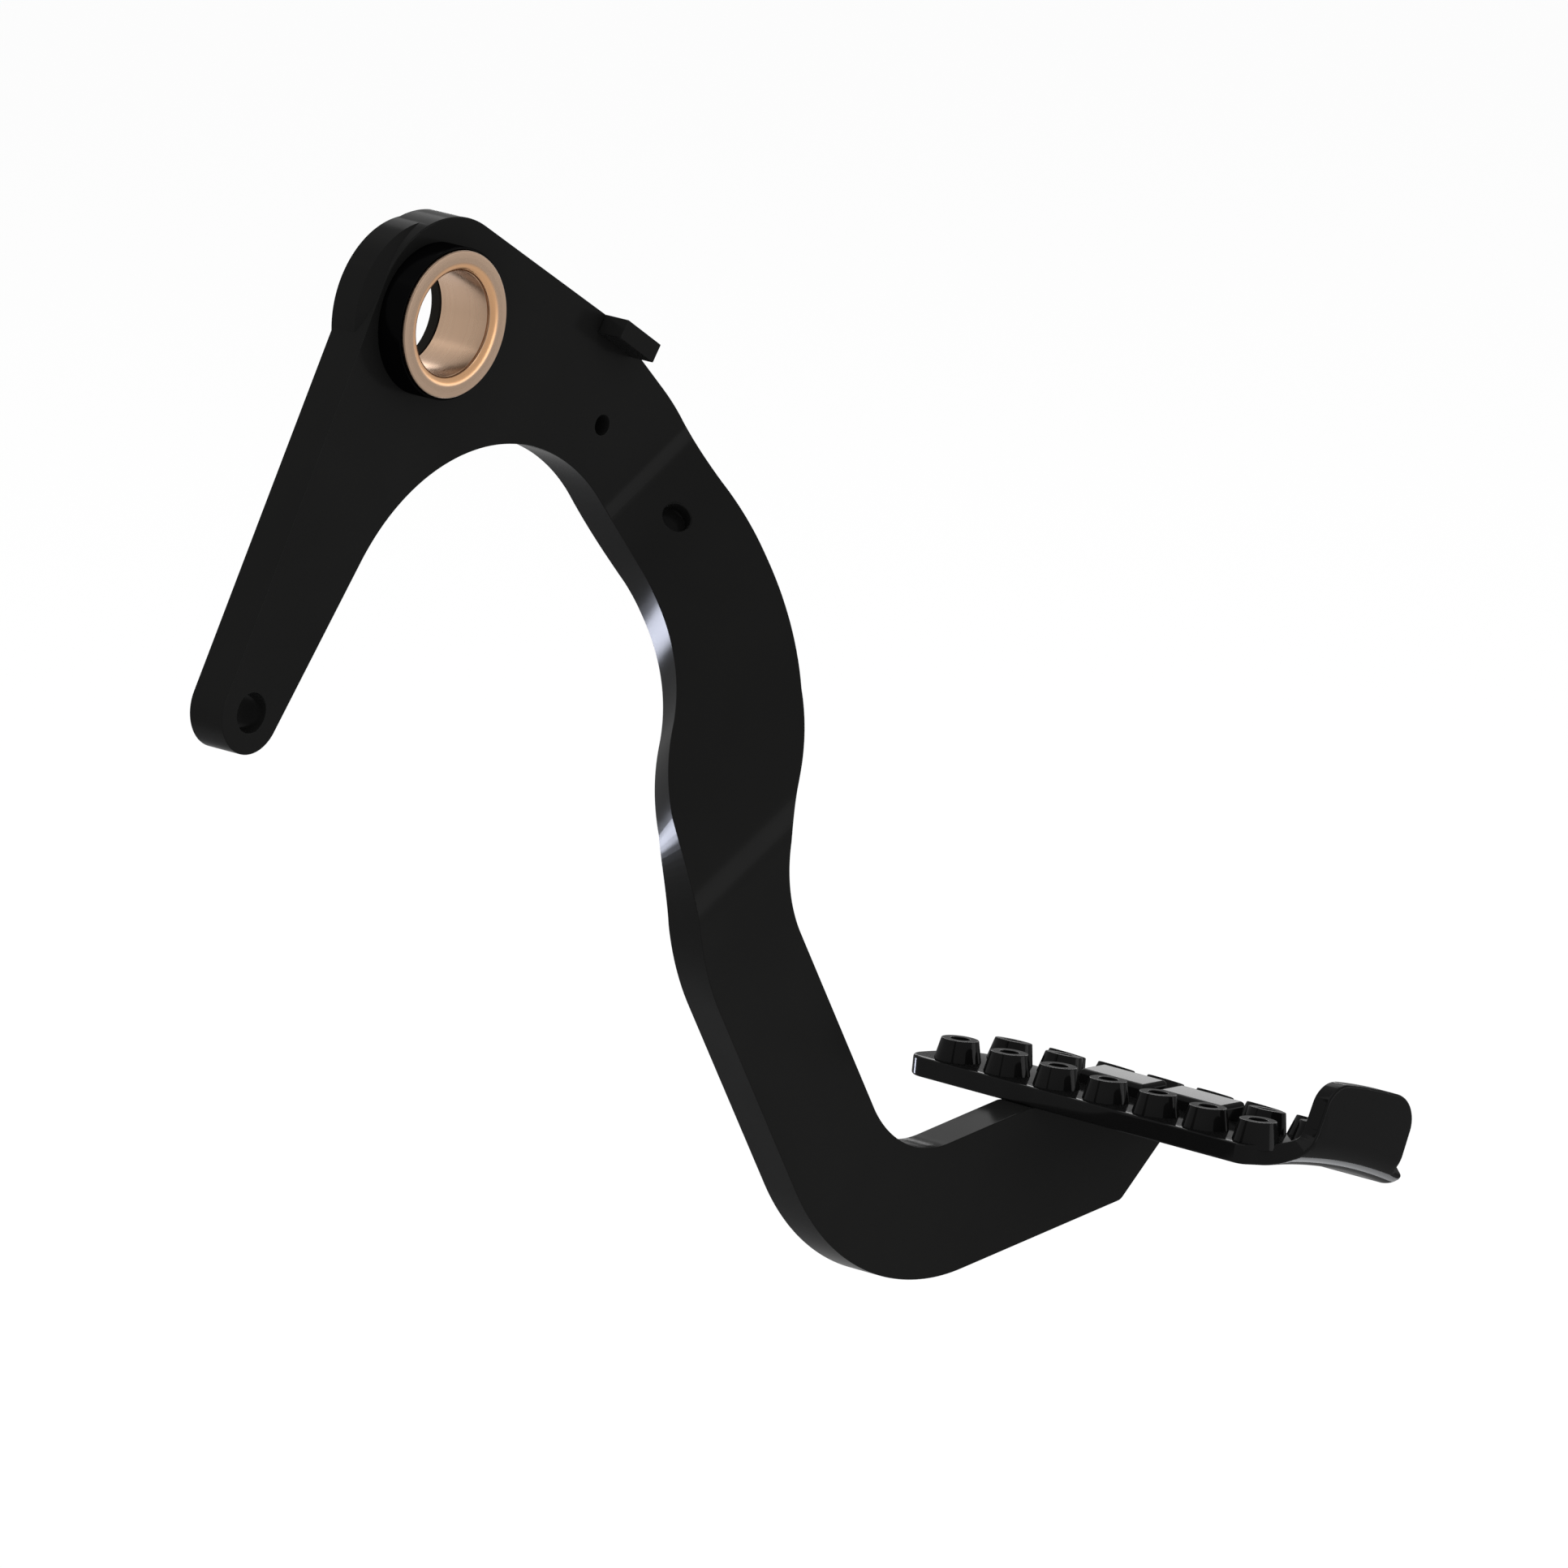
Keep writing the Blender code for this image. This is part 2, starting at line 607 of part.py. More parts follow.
def stud_mesh(cutters):
    """One hollow stud standing on z = 0 and rooted a little below it."""
    root = PAD_THICKNESS / 4
    base = STUD_BASE / 2
    top = STUD_TOP / 2
    slope = (base - top) / STUD_HEIGHT
    hole = STUD_HOLE / 2
    floor = STUD_HEIGHT - STUD_HOLE_DEPTH
    profile = [(top - STUD_EDGE, STUD_HEIGHT), (top + slope * STUD_EDGE, STUD_HEIGHT - STUD_EDGE),
               (base, 0.0), (base + slope * root, -root), (0.0, -root), (0.0, floor),
               (hole, floor), (hole, STUD_HEIGHT)]
    mesh = bpy.data.meshes.new("stud_profile")
    edges = [(i, i + 1) for i in range(len(profile) - 1)] + [(len(profile) - 1, 0)]
    edges.remove((4, 5))
    mesh.from_pydata([(radius, 0.0, height) for radius, height in profile], edges, [])
    item = place("stud_profile", mesh, cutters)
    screw = item.modifiers.new("Turn", 'SCREW')
    screw.steps = STUD_SEGMENTS
    screw.render_steps = STUD_SEGMENTS
    screw.use_merge_vertices = True
    screw.merge_threshold = 0.00001
    bpy.context.view_layer.update()
    evaluated = item.evaluated_get(bpy.context.evaluated_depsgraph_get())
    solid = bpy.data.meshes.new_from_object(evaluated)
    bpy.data.objects.remove(item)
    return solid


def on_tread(angle, y):
    """Frame on the tread surface, its Z axis square to it."""
    turn = Matrix.Rotation(radians(angle), 4, 'Y')
    axis = pad_axis()
    foot = Vector((axis.x, y, axis.y))
    return Matrix.Translation(foot) @ turn @ Matrix.Translation((0.0, 0.0, PAD_RADIUS))


def row_angle(row):
    """Angle of a row of studs from straight up."""
    return PAD_SLOPE + degrees((row - (ROWS - 1) / 2) * ROW_PITCH / PAD_RADIUS)


def tread_places():
    """Angle and y of each stud, and y of both ends of the bars' field in the middle row."""
    first = (STUD_COUNT - BARE_STUDS) // 2
    bare = range(first, first + BARE_STUDS)
    studs = []
    for row in range(ROWS):
        middle_row = row == ROWS // 2
        pitch = MIDDLE_ROW_PITCH if middle_row else STUD_PITCH
        middle_y = ROW_MIDDLE_Y + (NEAR_ROW_SHIFT if row == 0 else 0.0)
        for i in range(STUD_COUNT):
            if not (middle_row and i in bare):
                y = middle_y - (i - (STUD_COUNT - 1) / 2) * pitch
                studs.append((row_angle(row), y))
    half = (BARE_STUDS + 1) / 2 * MIDDLE_ROW_PITCH - STUD_BASE / 2 - BAR_SPACE
    return studs, ROW_MIDDLE_Y + half, ROW_MIDDLE_Y - half


def build_tread(cutters):
    """All studs, and the plain bars in the middle row, as one set of solids."""
    studs, field_start, field_end = tread_places()
    single = stud_mesh(cutters)
    work = bmesh.new()
    for angle, y in studs:
        copy = single.copy()
        copy.transform(on_tread(angle, y))
        work.from_mesh(copy)
        bpy.data.meshes.remove(copy)
    length = (field_start - field_end - (BAR_COUNT - 1) * BAR_SPACE) / BAR_COUNT
    root = PAD_THICKNESS / 4
    middle_angle = row_angle(ROWS // 2)
    for i in range(BAR_COUNT):
        y = field_start - length / 2 - i * (length + BAR_SPACE)
        made = bmesh.ops.create_cube(work, size=1.0)
        shape = Matrix.Diagonal((BAR_WIDTH, length, STUD_HEIGHT + root, 1.0))
        lift = Matrix.Translation((0.0, 0.0, (STUD_HEIGHT - root) / 2))
        bmesh.ops.transform(work, matrix=on_tread(middle_angle, y) @ lift @ shape, verts=made["verts"])
        block = set(made["verts"])
        rims = [edge for edge in work.edges if block.issuperset(edge.verts)]
        bmesh.ops.bevel(work, geom=rims, offset=BAR_ROUND, segments=2, affect='EDGES', profile=0.5)
    mesh = bpy.data.meshes.new("tread")
    work.to_mesh(mesh)
    work.free()
    bpy.data.meshes.remove(single)
    tread = place("tread", mesh, cutters)
    hide_cutter(tread)
    return tread


def build_pad(parts, cutters, surface):
    """Rolled pad plate with its lip and its tread."""
    mesh = plate_mesh("foot_pad", pad_outline(), PAD_THICKNESS, PAD_EDGE)
    bend_end, top = lip_lengths()
    across = Vector((1.0, 0.0, 0.0))
    lengthwise = Vector((0.0, -1.0, 0.0))
    count = ceil((PAD_FAR_ANGLE - PAD_NEAR_ANGLE) / WRAP_STEP)
    planes = []
    for i in range(1, count):
        angle = PAD_NEAR_ANGLE + (PAD_FAR_ANGLE - PAD_NEAR_ANGLE) * i / count
        planes.append((across, PAD_RADIUS * radians(angle)))
    for i in range(LIP_STEPS + 1):
        planes.append((lengthwise, -LIP_BEND_Y + (bend_end + LIP_BEND_Y) * i / LIP_STEPS))
    bent(mesh, planes, rolled)
    pad = place("foot_pad", mesh, parts, surface)
    combine(pad, build_tread(cutters), 'UNION')
    return pad


def main():
    for item in list(bpy.data.objects):
        bpy.data.objects.remove(item)
    scene = bpy.context.scene
    parts = bpy.data.collections.new("clutch_pedal")
    cutters = bpy.data.collections.new("cutters")
    scene.collection.children.link(parts)
    scene.collection.children.link(cutters)
    paint = material("black paint", (0.012, 0.012, 0.012), 0.35, 0.0)
    boss_steel = material("dark steel", (0.030, 0.030, 0.032), 0.40, 0.8)
    bronze = material("bronze", (0.55, 0.33, 0.20), 0.30, 0.9)
    pad_paint = material("black pad paint", (0.010, 0.010, 0.010), 0.25, 0.0)
    build_lever(parts, cutters, paint)
    build_boss(parts, boss_steel)
    build_bush(parts, bronze)
    build_lug(parts, paint)
    build_pad(parts, cutters, pad_paint)
    for item in parts.objects:
        smooth(item.data, 40)


main()
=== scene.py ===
"""Clutch pedal: fine visible pieces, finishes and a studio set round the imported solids.

The pivot axis is the Y axis, the front face of the lever's head lies at y = 0 and
looks to -Y, and +Z is up. Lengths are in metres, angles are in degrees.
"""

from functools import partial
from math import asin, atan2, ceil, copysign, cos, degrees, pi, radians, sin, sqrt, tan

import bmesh
import bpy
from bpy.props import FloatProperty, FloatVectorProperty, PointerProperty
from mathutils import Matrix, Vector


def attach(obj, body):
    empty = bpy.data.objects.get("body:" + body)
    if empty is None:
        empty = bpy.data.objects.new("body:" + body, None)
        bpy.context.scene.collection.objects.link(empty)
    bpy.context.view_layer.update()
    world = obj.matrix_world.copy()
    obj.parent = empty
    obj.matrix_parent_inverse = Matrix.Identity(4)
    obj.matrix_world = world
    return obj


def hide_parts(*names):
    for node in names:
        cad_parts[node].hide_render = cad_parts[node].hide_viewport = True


bl_info = {
    "name": "Clutch pedal",
    "version": (1, 0, 0),
    "blender": (4, 5, 0),
    "location": "View3D > Sidebar > Pedal",
    "description": "Joggled pedal lever with a bushed pivot, a stop lug and a studded foot pad",
    "category": "Add Mesh",
}

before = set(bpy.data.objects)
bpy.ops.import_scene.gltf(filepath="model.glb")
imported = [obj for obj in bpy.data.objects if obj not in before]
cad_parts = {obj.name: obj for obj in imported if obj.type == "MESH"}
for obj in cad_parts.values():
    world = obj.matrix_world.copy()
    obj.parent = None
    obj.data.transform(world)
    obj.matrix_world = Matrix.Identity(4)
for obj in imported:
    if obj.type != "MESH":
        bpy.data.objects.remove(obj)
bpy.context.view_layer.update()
BODY = "root"
ARC_STEP = 1.5  # turn between the points of a plate's arc
SHORTEST = 0.00012  # least distance between two points of an arc

# Flat drawing of the lever plate, in x and z
HEAD = Vector((0.0037, -0.0008))
HEAD_RADIUS = 0.0192
UPPER_EDGE_ANGLE = -36.0
UPPER_EDGE_LENGTH = 0.0424
SHOULDER_ANGLE = -49.1
SHOULDER_BEND = 0.0595
ARM_FRONT = Vector((0.0782, 0.0))
ARM_FRONT_BEND = 0.0751
WAIST = Vector((0.0657, -0.1091))
WAIST_ANGLE = -122.3
WAIST_BEND = 0.0278
SHANK = Vector((0.0752, -0.1583))
SHANK_ANGLE = -62.3
SHANK_WIDTH = 0.0249
TOE_TOP_ANGLE = 3.6
TOE_TOP_REACH = 0.0006
TOE_DEPTH = 0.0263
TOE_BOTTOM_ANGLE = 3.25
TOE_INNER_BEND = 0.0229
TOE_OUTER_BEND = 0.0498
TOE_END = Vector((0.1676, -0.2033))
TOE_END_ANGLE = 37.7
TOE_END_ROUND = 0.0025
BACK = Vector((0.0446, -0.0951))
BACK_ANGLE = -125.3
BACK_LOWER_BEND = 0.0560
BACK_UPPER_BEND = 0.0471
ARCH_RIGHT = Vector((0.0532, 0.0))
ARCH_TOP = Vector((0.0, -0.0278))
ARCH_RIGHT_BEND = 0.0401
ARCH_LEFT_BEND = 0.0427
ROD_ARM_ANGLE = 49.4
ROD_HOLE = Vector((-0.0490, -0.0653))
ROD_EYE_RADIUS = 0.0079
JIG_HOLE = Vector((0.0466, -0.0303))
BEND_LINE_ANGLE = 25.5
BEND_DISTANCE = 0.0608
WEB_HOLE_ALONG = 0.0344
WEB_HOLE_INSET = 0.0015
LUG_START = 0.0403
LUG_ANGLE = -36.8

# Foot pad, rolled round an axis parallel to the pivot
PAD_MIDDLE = Vector((0.14517, -0.17532))
PAD_SLOPE = 18.0
PAD_END_Y = -0.0068
PAD_CORNER_ROUND = 0.0045
LIP_BEND_Y = -0.0940
LIP_NEAR_START = -0.0924  # here the near edge turns in toward the lip
LIP_NEAR_TURN = 0.0030
LIP_NEAR_FOOT = Vector((0.0125, -0.0995))
LIP_NEAR_FOOT_ROUND = 0.0060
LIP_NEAR_INSET = 0.0153  # of the lip's top corner
LIP_NEAR_ROUND = 0.0055
LIP_FAR_INSET = 0.0036
LIP_FAR_START = 0.0036  # beyond the start of the bend
LIP_FAR_CORNER = 0.0010
LIP_FAR_ROUND = 0.0060
STUD_COUNT = 7
STUD_ROWS = 3
ROW_MIDDLE_Y = -0.0534
ROW_PITCH = 0.01545
ROW_SHIFTS = (0.0005, -0.0005, -0.0004)  # of each row along the pivot axis
STUD_PITCH = 0.01257
MIDDLE_ROW_PITCH = 0.01287
BARE_STUDS = 3  # places that the bars take in the middle row
BAR_COUNT = 2

FACING_FRONT = Matrix.Rotation(radians(90), 4, 'X')  # turns +Z to -Y

# Steps round and along the curved shapes
BEND_STEPS = 24
TREAD_STEPS = 33
DISC_STEPS = 160
TURNED_STEPS = 192
MOUTH_STEPS = 14
ROD_HOLE_STEPS = 72
JIG_HOLE_STEPS = 56
WEB_HOLE_STEPS = 64
STUD_STEPS = 64
QUARTER = [radians(30 * i) for i in range(4)]
FINE_QUARTER = [radians(15 * i) for i in range(7)]

# Roundings and clearances too small to be settings
SEAT_ROUND = 0.0001
ROD_HOLE_ROUND = 0.00015
JIG_HOLE_ROUND = 0.0001
WEB_HOLE_ROUND = 0.00025
STUD_ROUND = 0.00016
FLANGE_ROUND = 0.00025
BUSH_END_ROUND = 0.0004
PRESS_GAP = 0.00002
LINE_DEPTH = 0.00014  # turned line inside the bush, behind its mouth
LINE_FRONT = 0.00008
LINE_FLOOR = 0.00024
LINE_REAR = 0.0003

# Where the finishes change, as distances from the pivot axis. The bore and mouth edges bound the bronze's
# painted light.
RING_EDGE = (0.0112, 0.0106)
BORE_PAINTED_LIGHT_EDGE = (0.0100, 0.0102)
MOUTH_PAINTED_LIGHT_EDGE = (0.0118, 0.0110)

# Weights of the gloss seen square on, slanting and glancing, and where they change
LEVER_GLOSS = (0.045, 0.100, 0.29)
PAD_GLOSS = (0.12, 0.14, 0.20)
SLANTING = (0.33, 0.48)
GLANCING = (0.60, 1.0)
STEEL_MARKS = 0.000003  # heights of the turning marks
BRONZE_MARKS = 0.0000025

# Stage
CAMERA_PLACE = (-2.5344, -2.3763, 0.9647)
CAMERA_TURN = (73.11, 0.0, -47.92)
CAMERA_LENS = 447.2  # mm
FLOOR_REACH = 30.0
FLOOR_GLOW = 0.8
WHITE = (1.0, 1.0, 1.0)
CENTRE = (0.05, -0.03, -0.09)
LIP = (0.155, -0.095, -0.182)
BARS = (0.145, -0.053, -0.172)
# Name, what it looks at, azimuth and elevation, distance, size, power setting, colour
LIGHTS = (
    ("overhead", CENTRE, (150, 72), 2.2, (2.0, 2.0), "key", WHITE),
    ("front_strip", CENTRE, (-54, -3.0), 2.0, (1.6, 0.45), "strip", WHITE),
    ("cool_side", CENTRE, (94, -16), 0.9, (0.17, 0.11), "cool", (0.80, 0.84, 1.0)),
    ("back_soft", CENTRE, (44, 26), 2.0, (0.9, 0.75), "back", WHITE),
    ("low_fill", LIP, (16, -53), 0.45, (0.14, 0.22), "low", (0.95, 0.97, 1.0)),
    ("bar_light", BARS, (40, 8), 0.6, (0.35, 0.05), "bars", WHITE),
)


def length(name, description, default, least=0.0):
    """Adjustable length."""
    return FloatProperty(name=name, description=description, default=default, min=least,
                         unit='LENGTH', precision=5)


def colour(name, description, default):
    """Adjustable linear colour."""
    return FloatVectorProperty(name=name, description=description, default=default, size=3,
                               subtype='COLOR', min=0.0, max=1.0)


def share(name, description, default):
    """Adjustable number from 0 to 1."""
    return FloatProperty(name=name, description=description, default=default, min=0.0, max=1.0,
                         subtype='FACTOR')


def power(name, description, default):
    """Adjustable power of a light."""
    return FloatProperty(name=name, description=description, default=default, min=0.0, unit='POWER')


class LeverSizes(bpy.types.PropertyGroup):
    """Sizes of the lever plate."""
    thickness: length("Plate thickness", "Thickness of the lever plate", 0.0083)
    edge: length("Edge rounding", "Rounding along the plate's edges", 0.0002)
    bend_radius: length("Bend radius", "Inner radius of both bends", 0.018)
    bend_angle: FloatProperty(name="Bend angle", description="Turn of each of the two bends",
                              default=radians(45.0), subtype='ANGLE')
    bend_offset: length("Offset", "How far the long arm lies in front of the head", 0.040)
    disc_radius: length("Disc radius", "Round disc of the head", 0.0180)
    disc_chamfer: length("Disc chamfer", "Bevel of the head's disc", 0.0026)
    disc_proud: length("Disc proud", "How far the disc stands out behind the plate", 0.00035)
    rod_hole: length("Rod hole", "Diameter of the push rod's hole", 0.0077)
    jig_hole: length("Jig hole", "Diameter of the small hole below the shoulder", 0.0040)
    web_hole: length("Web hole", "Diameter of the blind hole in the web", 0.0056)
    web_hole_depth: length("Web hole depth", "Depth of the blind hole in the web", 0.0032)


class PivotSizes(bpy.types.PropertyGroup):
    """Sizes of the boss and its bush."""
    bore: length("Bore", "Diameter of the pivot bore", 0.0200)
    wall: length("Bush wall", "Wall of the bush", 0.0020)
    flange: length("Flange", "Diameter of the bush's flange", 0.0278)
    flange_thickness: length("Flange thickness", "Thickness of the bush's flange", 0.0020)
    mouth: length("Mouth", "Diameter where the flange's face starts to round into the bore", 0.0235)
    mouth_depth: length("Mouth depth", "Depth of that rounding", 0.0011)
    set_back: length("Boss set-back", "How far the boss's front lies behind the flange's face", 0.0007)
    rim: length("Boss rim", "Wall of the boss round the flange", 0.0004)
    reach: length("Boss reach", "From the plate's front to the flange's face", 0.0062)
    rear: length("Boss rear", "How far the boss stands out behind the head's disc", 0.0008)
    ring: length("Rear ring", "Depth of the steel ring behind the bush", 0.0023)
    gap: length("Gap", "Fine line between flange and boss", 0.00012)


class LugSizes(bpy.types.PropertyGroup):
    """Sizes of the stop lug."""
    length: length("Length", "Length of the lug", 0.0112)
    width: length("Width", "Width of the lug", 0.0038)
    height: length("Height", "How far it stands out from the plate", 0.0059)
    edge: length("Edge rounding", "Rounding of the lug's edges", 0.0002)


class PadSizes(bpy.types.PropertyGroup):
    """Sizes of the foot pad."""
    radius: length("Tread radius", "Radius of the rolled tread", 0.1250)
    width: length("Pad width", "Width of the pad along its tread", 0.0432)
    thickness: length("Pad thickness", "Thickness of the pad", 0.0039)
    edge: length("Edge rounding", "Rounding along the pad's edges", 0.0005)
    lip_radius: length("Lip radius", "Inner radius where the lip turns up", 0.0020)
    lip_height: length("Lip height", "Height of the lip above the tread", 0.0128)
    stud_base: length("Stud base", "Diameter of a stud at its foot", 0.0091)
    stud_top: length("Stud top", "Diameter of a stud at its top", 0.0073)
    stud_height: length("Stud height", "Height of the studs and bars", 0.0041)
    stud_hole: length("Stud hole", "Diameter of the blind hole in a stud", 0.00375)
    stud_hole_depth: length("Stud hole depth", "Depth of the blind hole in a stud", 0.0030)
    bar_width: length("Bar width", "Width of the plain bars", 0.0075)
    bar_slope: length("Bar slope", "How much lower the near edge of a bar's top lies", 0.0016)
    bar_space: length("Bar space", "Space at the ends of the bars", 0.0030)
    bar_round: length("Bar rounding", "Rounding of the bars' edges", 0.0010)


class Finishes(bpy.types.PropertyGroup):
    """Colours and sheen of the finishes."""
    lever: colour("Lever paint", "Black paint of the lever and lug", (0.0083, 0.0083, 0.0081))
    boss: colour("Boss paint", "Dark oiled steel of the boss", (0.0010, 0.0010, 0.0011))
    ring: colour("Rear ring", "Bare steel inside the boss", (0.016, 0.015, 0.013))
    pad: colour("Pad paint", "Black paint of the pad", (0.0045, 0.0045, 0.0045))
    bronze: colour("Bronze", "Bronze of the bush's flange", (0.230, 0.162, 0.116))
    # The bore's and the mouth's bronze are painted light: lighter and warmer copies of the flange's bronze
    # that stand in for the light reflected there.
    bronze_bore_painted_light: colour("Bore bronze", "Bronze inside the bush", (0.430, 0.292, 0.200))
    bronze_mouth_painted_light: colour("Warm bronze", "Bronze of the rounded mouth", (0.500, 0.285, 0.150))
    lever_roughness: share("Lever roughness", "Roughness of the lever's gloss", 0.16)
    pad_roughness: share("Pad roughness", "Roughness of the pad's gloss", 0.08)
    bronze_roughness: share("Bronze roughness", "Roughness of the bronze", 0.27)
    peel: length("Paint ripple", "Height of the ripple in the paint", 0.000004)


class Stage(bpy.types.PropertyGroup):
    """Floor, light and camera."""
    floor: colour("Floor", "Colour of the floor", (0.90, 0.90, 0.90))
    drop: length("Floor drop", "Height of the pivot over the floor", 0.62)
    ambient: FloatProperty(name="Ambient", description="Strength of the light from all around",
                           default=0.92, min=0.0)
    key: power("Key light", "Power of the overhead light", 14.0)
    strip: power("Strip light", "Power of the front strip", 7.0)
    cool: power("Cool light", "Power of the cool light behind", 4.4)
    back: power("Back light", "Power of the soft light behind", 5.3)
    low: power("Low light", "Power of the light under the lip", 0.9)
    bars: power("Bar light", "Power of the light behind the bars", 0.44)


class PedalSettings(bpy.types.PropertyGroup):
    """All settings of the pedal."""
    lever: PointerProperty(type=LeverSizes)
    pivot: PointerProperty(type=PivotSizes)
    lug: PointerProperty(type=LugSizes)
    pad: PointerProperty(type=PadSizes)
    finish: PointerProperty(type=Finishes)
    stage: PointerProperty(type=Stage)


# Flat drawing

def along(degree):
    """Unit vector at an angle in the flat drawing."""
    return Vector((cos(radians(degree)), sin(radians(degree))))


def crossing(p, p_angle, q, q_angle):
    """Where the line through p meets the line through q."""
    u = along(p_angle)
    v = along(q_angle)
    span = q - p
    return p + u * ((span.x * v.y - span.y * v.x) / (u.x * v.y - u.y * v.x))


def arc(centre, radius, start, end):
    """Points of an arc, both ends included."""
    turn = abs(end - start)
    count = max(2, min(ceil(turn / ARC_STEP), int(radians(turn) * radius / SHORTEST)))
    return [centre + radius * along(start + (end - start) * i / count) for i in range(count + 1)]


def rounded(corners):
    """Open outline through (point, radius) corners, each rounded by its radius."""
    points = [corner[0] for corner in corners]
    turns = [0.0] * len(points)
    for i in range(1, len(points) - 1):
        before = points[i] - points[i - 1]
        after = points[i + 1] - points[i]
        turns[i] = atan2(before.x * after.y - before.y * after.x, before.dot(after))
    reach = [corner[1] * abs(tan(turn / 2)) for corner, turn in zip(corners, turns)]
    part = [1.0] * len(points)
    for i in range(len(points) - 1):
        used = reach[i] + reach[i + 1]
        room = (points[i + 1] - points[i]).length
        if used > room:
            part[i] = min(part[i], room / used)
            part[i + 1] = min(part[i + 1], room / used)
    outline = []
    for i, point in enumerate(points):
        if reach[i] == 0.0:
            outline.append(point)
            continue
        ahead = (point - points[i - 1]).normalized()
        side = copysign(1.0, turns[i])
        radius = corners[i][1] * part[i]
        centre = point - ahead * reach[i] * part[i] + Vector((-ahead.y, ahead.x)) * side * radius
        start = degrees(atan2(ahead.y, ahead.x)) - 90 * side
        outline += arc(centre, radius, start, start + degrees(turns[i]))
    return outline


def line_meets_circle(point, angle, centre, radius):
    """Polar angle of the higher place where a line meets a circle."""
    ahead = along(angle)
    offset = point - centre
    half = offset.dot(ahead)
    root = sqrt(half * half - offset.length_squared + radius * radius)
    spots = (offset + ahead * (-half - root), offset + ahead * (-half + root))
    spot = max(spots, key=lambda place: place.y)
    return degrees(atan2(spot.y, spot.x))


# Mesh making

def new_object(name, mesh):
    """Object in the scene."""
    item = bpy.data.objects.new(name, mesh)
    bpy.context.scene.collection.objects.link(item)
    return item


def baked(item):
    """Mesh of an object with its modifiers; the object is removed."""
    bpy.context.view_layer.update()
    evaluated = item.evaluated_get(bpy.context.evaluated_depsgraph_get())
    mesh = bpy.data.meshes.new_from_object(evaluated)
    bpy.data.objects.remove(item)
    return mesh


def plate_mesh(outline, thickness, edge):
    """Flat plate from a closed outline, with rounded edges, centred on its thickness."""
    curve = bpy.data.curves.new("plate", 'CURVE')
    curve.dimensions = '2D'
    curve.fill_mode = 'BOTH'
    curve.extrude = thickness / 2 - edge
    curve.bevel_depth = edge
    curve.bevel_resolution = 2
    curve.offset = -edge
    spline = curve.splines.new('POLY')
    spline.points.add(len(outline) - 1)
    for target, point in zip(spline.points, outline):
        target.co = (point.x, point.y, 0.0, 1.0)
    spline.use_cyclic_u = True
    return baked(new_object("plate", curve))


def bent(mesh, planes, carry):
    """Weld a plate's caps, cut it across at each plane and carry each point to its place."""
    work = bmesh.new()
    work.from_mesh(mesh)
    bmesh.ops.remove_doubles(work, verts=work.verts, dist=0.000005)
    bmesh.ops.dissolve_limit(work, angle_limit=radians(0.1), verts=work.verts, edges=work.edges)
    for normal, distance in planes:
        bmesh.ops.bisect_plane(work, geom=work.verts[:] + work.edges[:] + work.faces[:],
                               dist=0.000004, plane_co=normal * distance, plane_no=normal)
    bmesh.ops.triangulate(work, faces=[face for face in work.faces if len(face.verts) > 4])
    for vertex in work.verts:
        vertex.co = carry(*vertex.co)
    bmesh.ops.recalc_face_normals(work, faces=work.faces)
    work.to_mesh(mesh)
    work.free()
    return mesh


def turned(profile, steps, closed=True):
    """Mesh turned from a profile of (radius, height) round the Z axis."""
    work = bmesh.new()
    points = [work.verts.new((radius, 0.0, height)) for radius, height in profile]
    edges = [work.edges.new((points[i], points[i + 1])) for i in range(len(points) - 1)]
    if closed:
        edges.append(work.edges.new((points[-1], points[0])))
    bmesh.ops.spin(work, geom=points + edges, axis=(0, 0, 1), cent=(0, 0, 0), angle=2 * pi,
                   steps=steps, use_merge=True)
    bmesh.ops.remove_doubles(work, verts=work.verts, dist=0.000002)
    bmesh.ops.recalc_face_normals(work, faces=work.faces)
    mesh = bpy.data.meshes.new("turned")
    work.to_mesh(mesh)
    work.free()
    return mesh


def joined(mesh, tools):
    """Mesh after a row of (operation, mesh) steps; the tool meshes are removed."""
    item = new_object("blank", mesh)
    helpers = []
    for operation, tool in tools:
        helper = new_object("tool", tool)
        helpers.append(helper)
        step = item.modifiers.new("Step", 'BOOLEAN')
        step.operation = operation
        step.object = helper
        step.solver = 'EXACT'
    result = baked(item)
    for helper in helpers:
        data = helper.data
        bpy.data.objects.remove(helper)
        bpy.data.meshes.remove(data)
    return result


def round_cutter(radius, depth, rounding, steps, place):
    """Cutter for a hole through a plate of this depth, with rounded mouths."""
    half = depth / 2
    over = rounding * 2
    profile = [(0.0, -half - over), (radius + rounding, -half - over)]
    profile += [(radius + rounding * (1 - sin(turn)), -half + rounding * (1 - cos(turn))) for turn in QUARTER]
    profile += [(out, -height) for out, height in reversed(profile)]
    mesh = turned(profile, steps, closed=False)
    mesh.transform(place)
    return mesh


def dimple_cutter(radius, depth, rounding, steps):
    """Cutter for a blind hole down from z = 0, with a rounded mouth."""
    profile = [(0.0, -depth), (radius - rounding, -depth), (radius, -depth + rounding)]
    profile += [(radius + rounding * (1 - cos(turn)), -rounding * (1 - sin(turn))) for turn in QUARTER]
    profile += [(radius + rounding, rounding * 2), (0.0, rounding * 2)]
    return turned(profile, steps, closed=False)


def finish_piece(name, mesh, finish, angle=24):
    """Piece with its material and slot, shaded smooth with its flat faces kept flat."""
    mesh.name = name
    mesh.materials.clear()
    mesh.materials.append(bpy.data.materials[finish])
    mesh.shade_smooth()
    mesh.set_sharp_from_angle(angle=radians(angle))
    piece = new_object(name, mesh)
    weights = piece.modifiers.new("Weighted Normal", 'WEIGHTED_NORMAL')
    weights.mode = 'FACE_AREA_WITH_ANGLE'
    weights.keep_sharp = True
    return piece


# Lever plate

def bend_normal():
    """Direction across the bend lines, down the lever, in the flat drawing."""
    return along(BEND_LINE_ANGLE - 90)


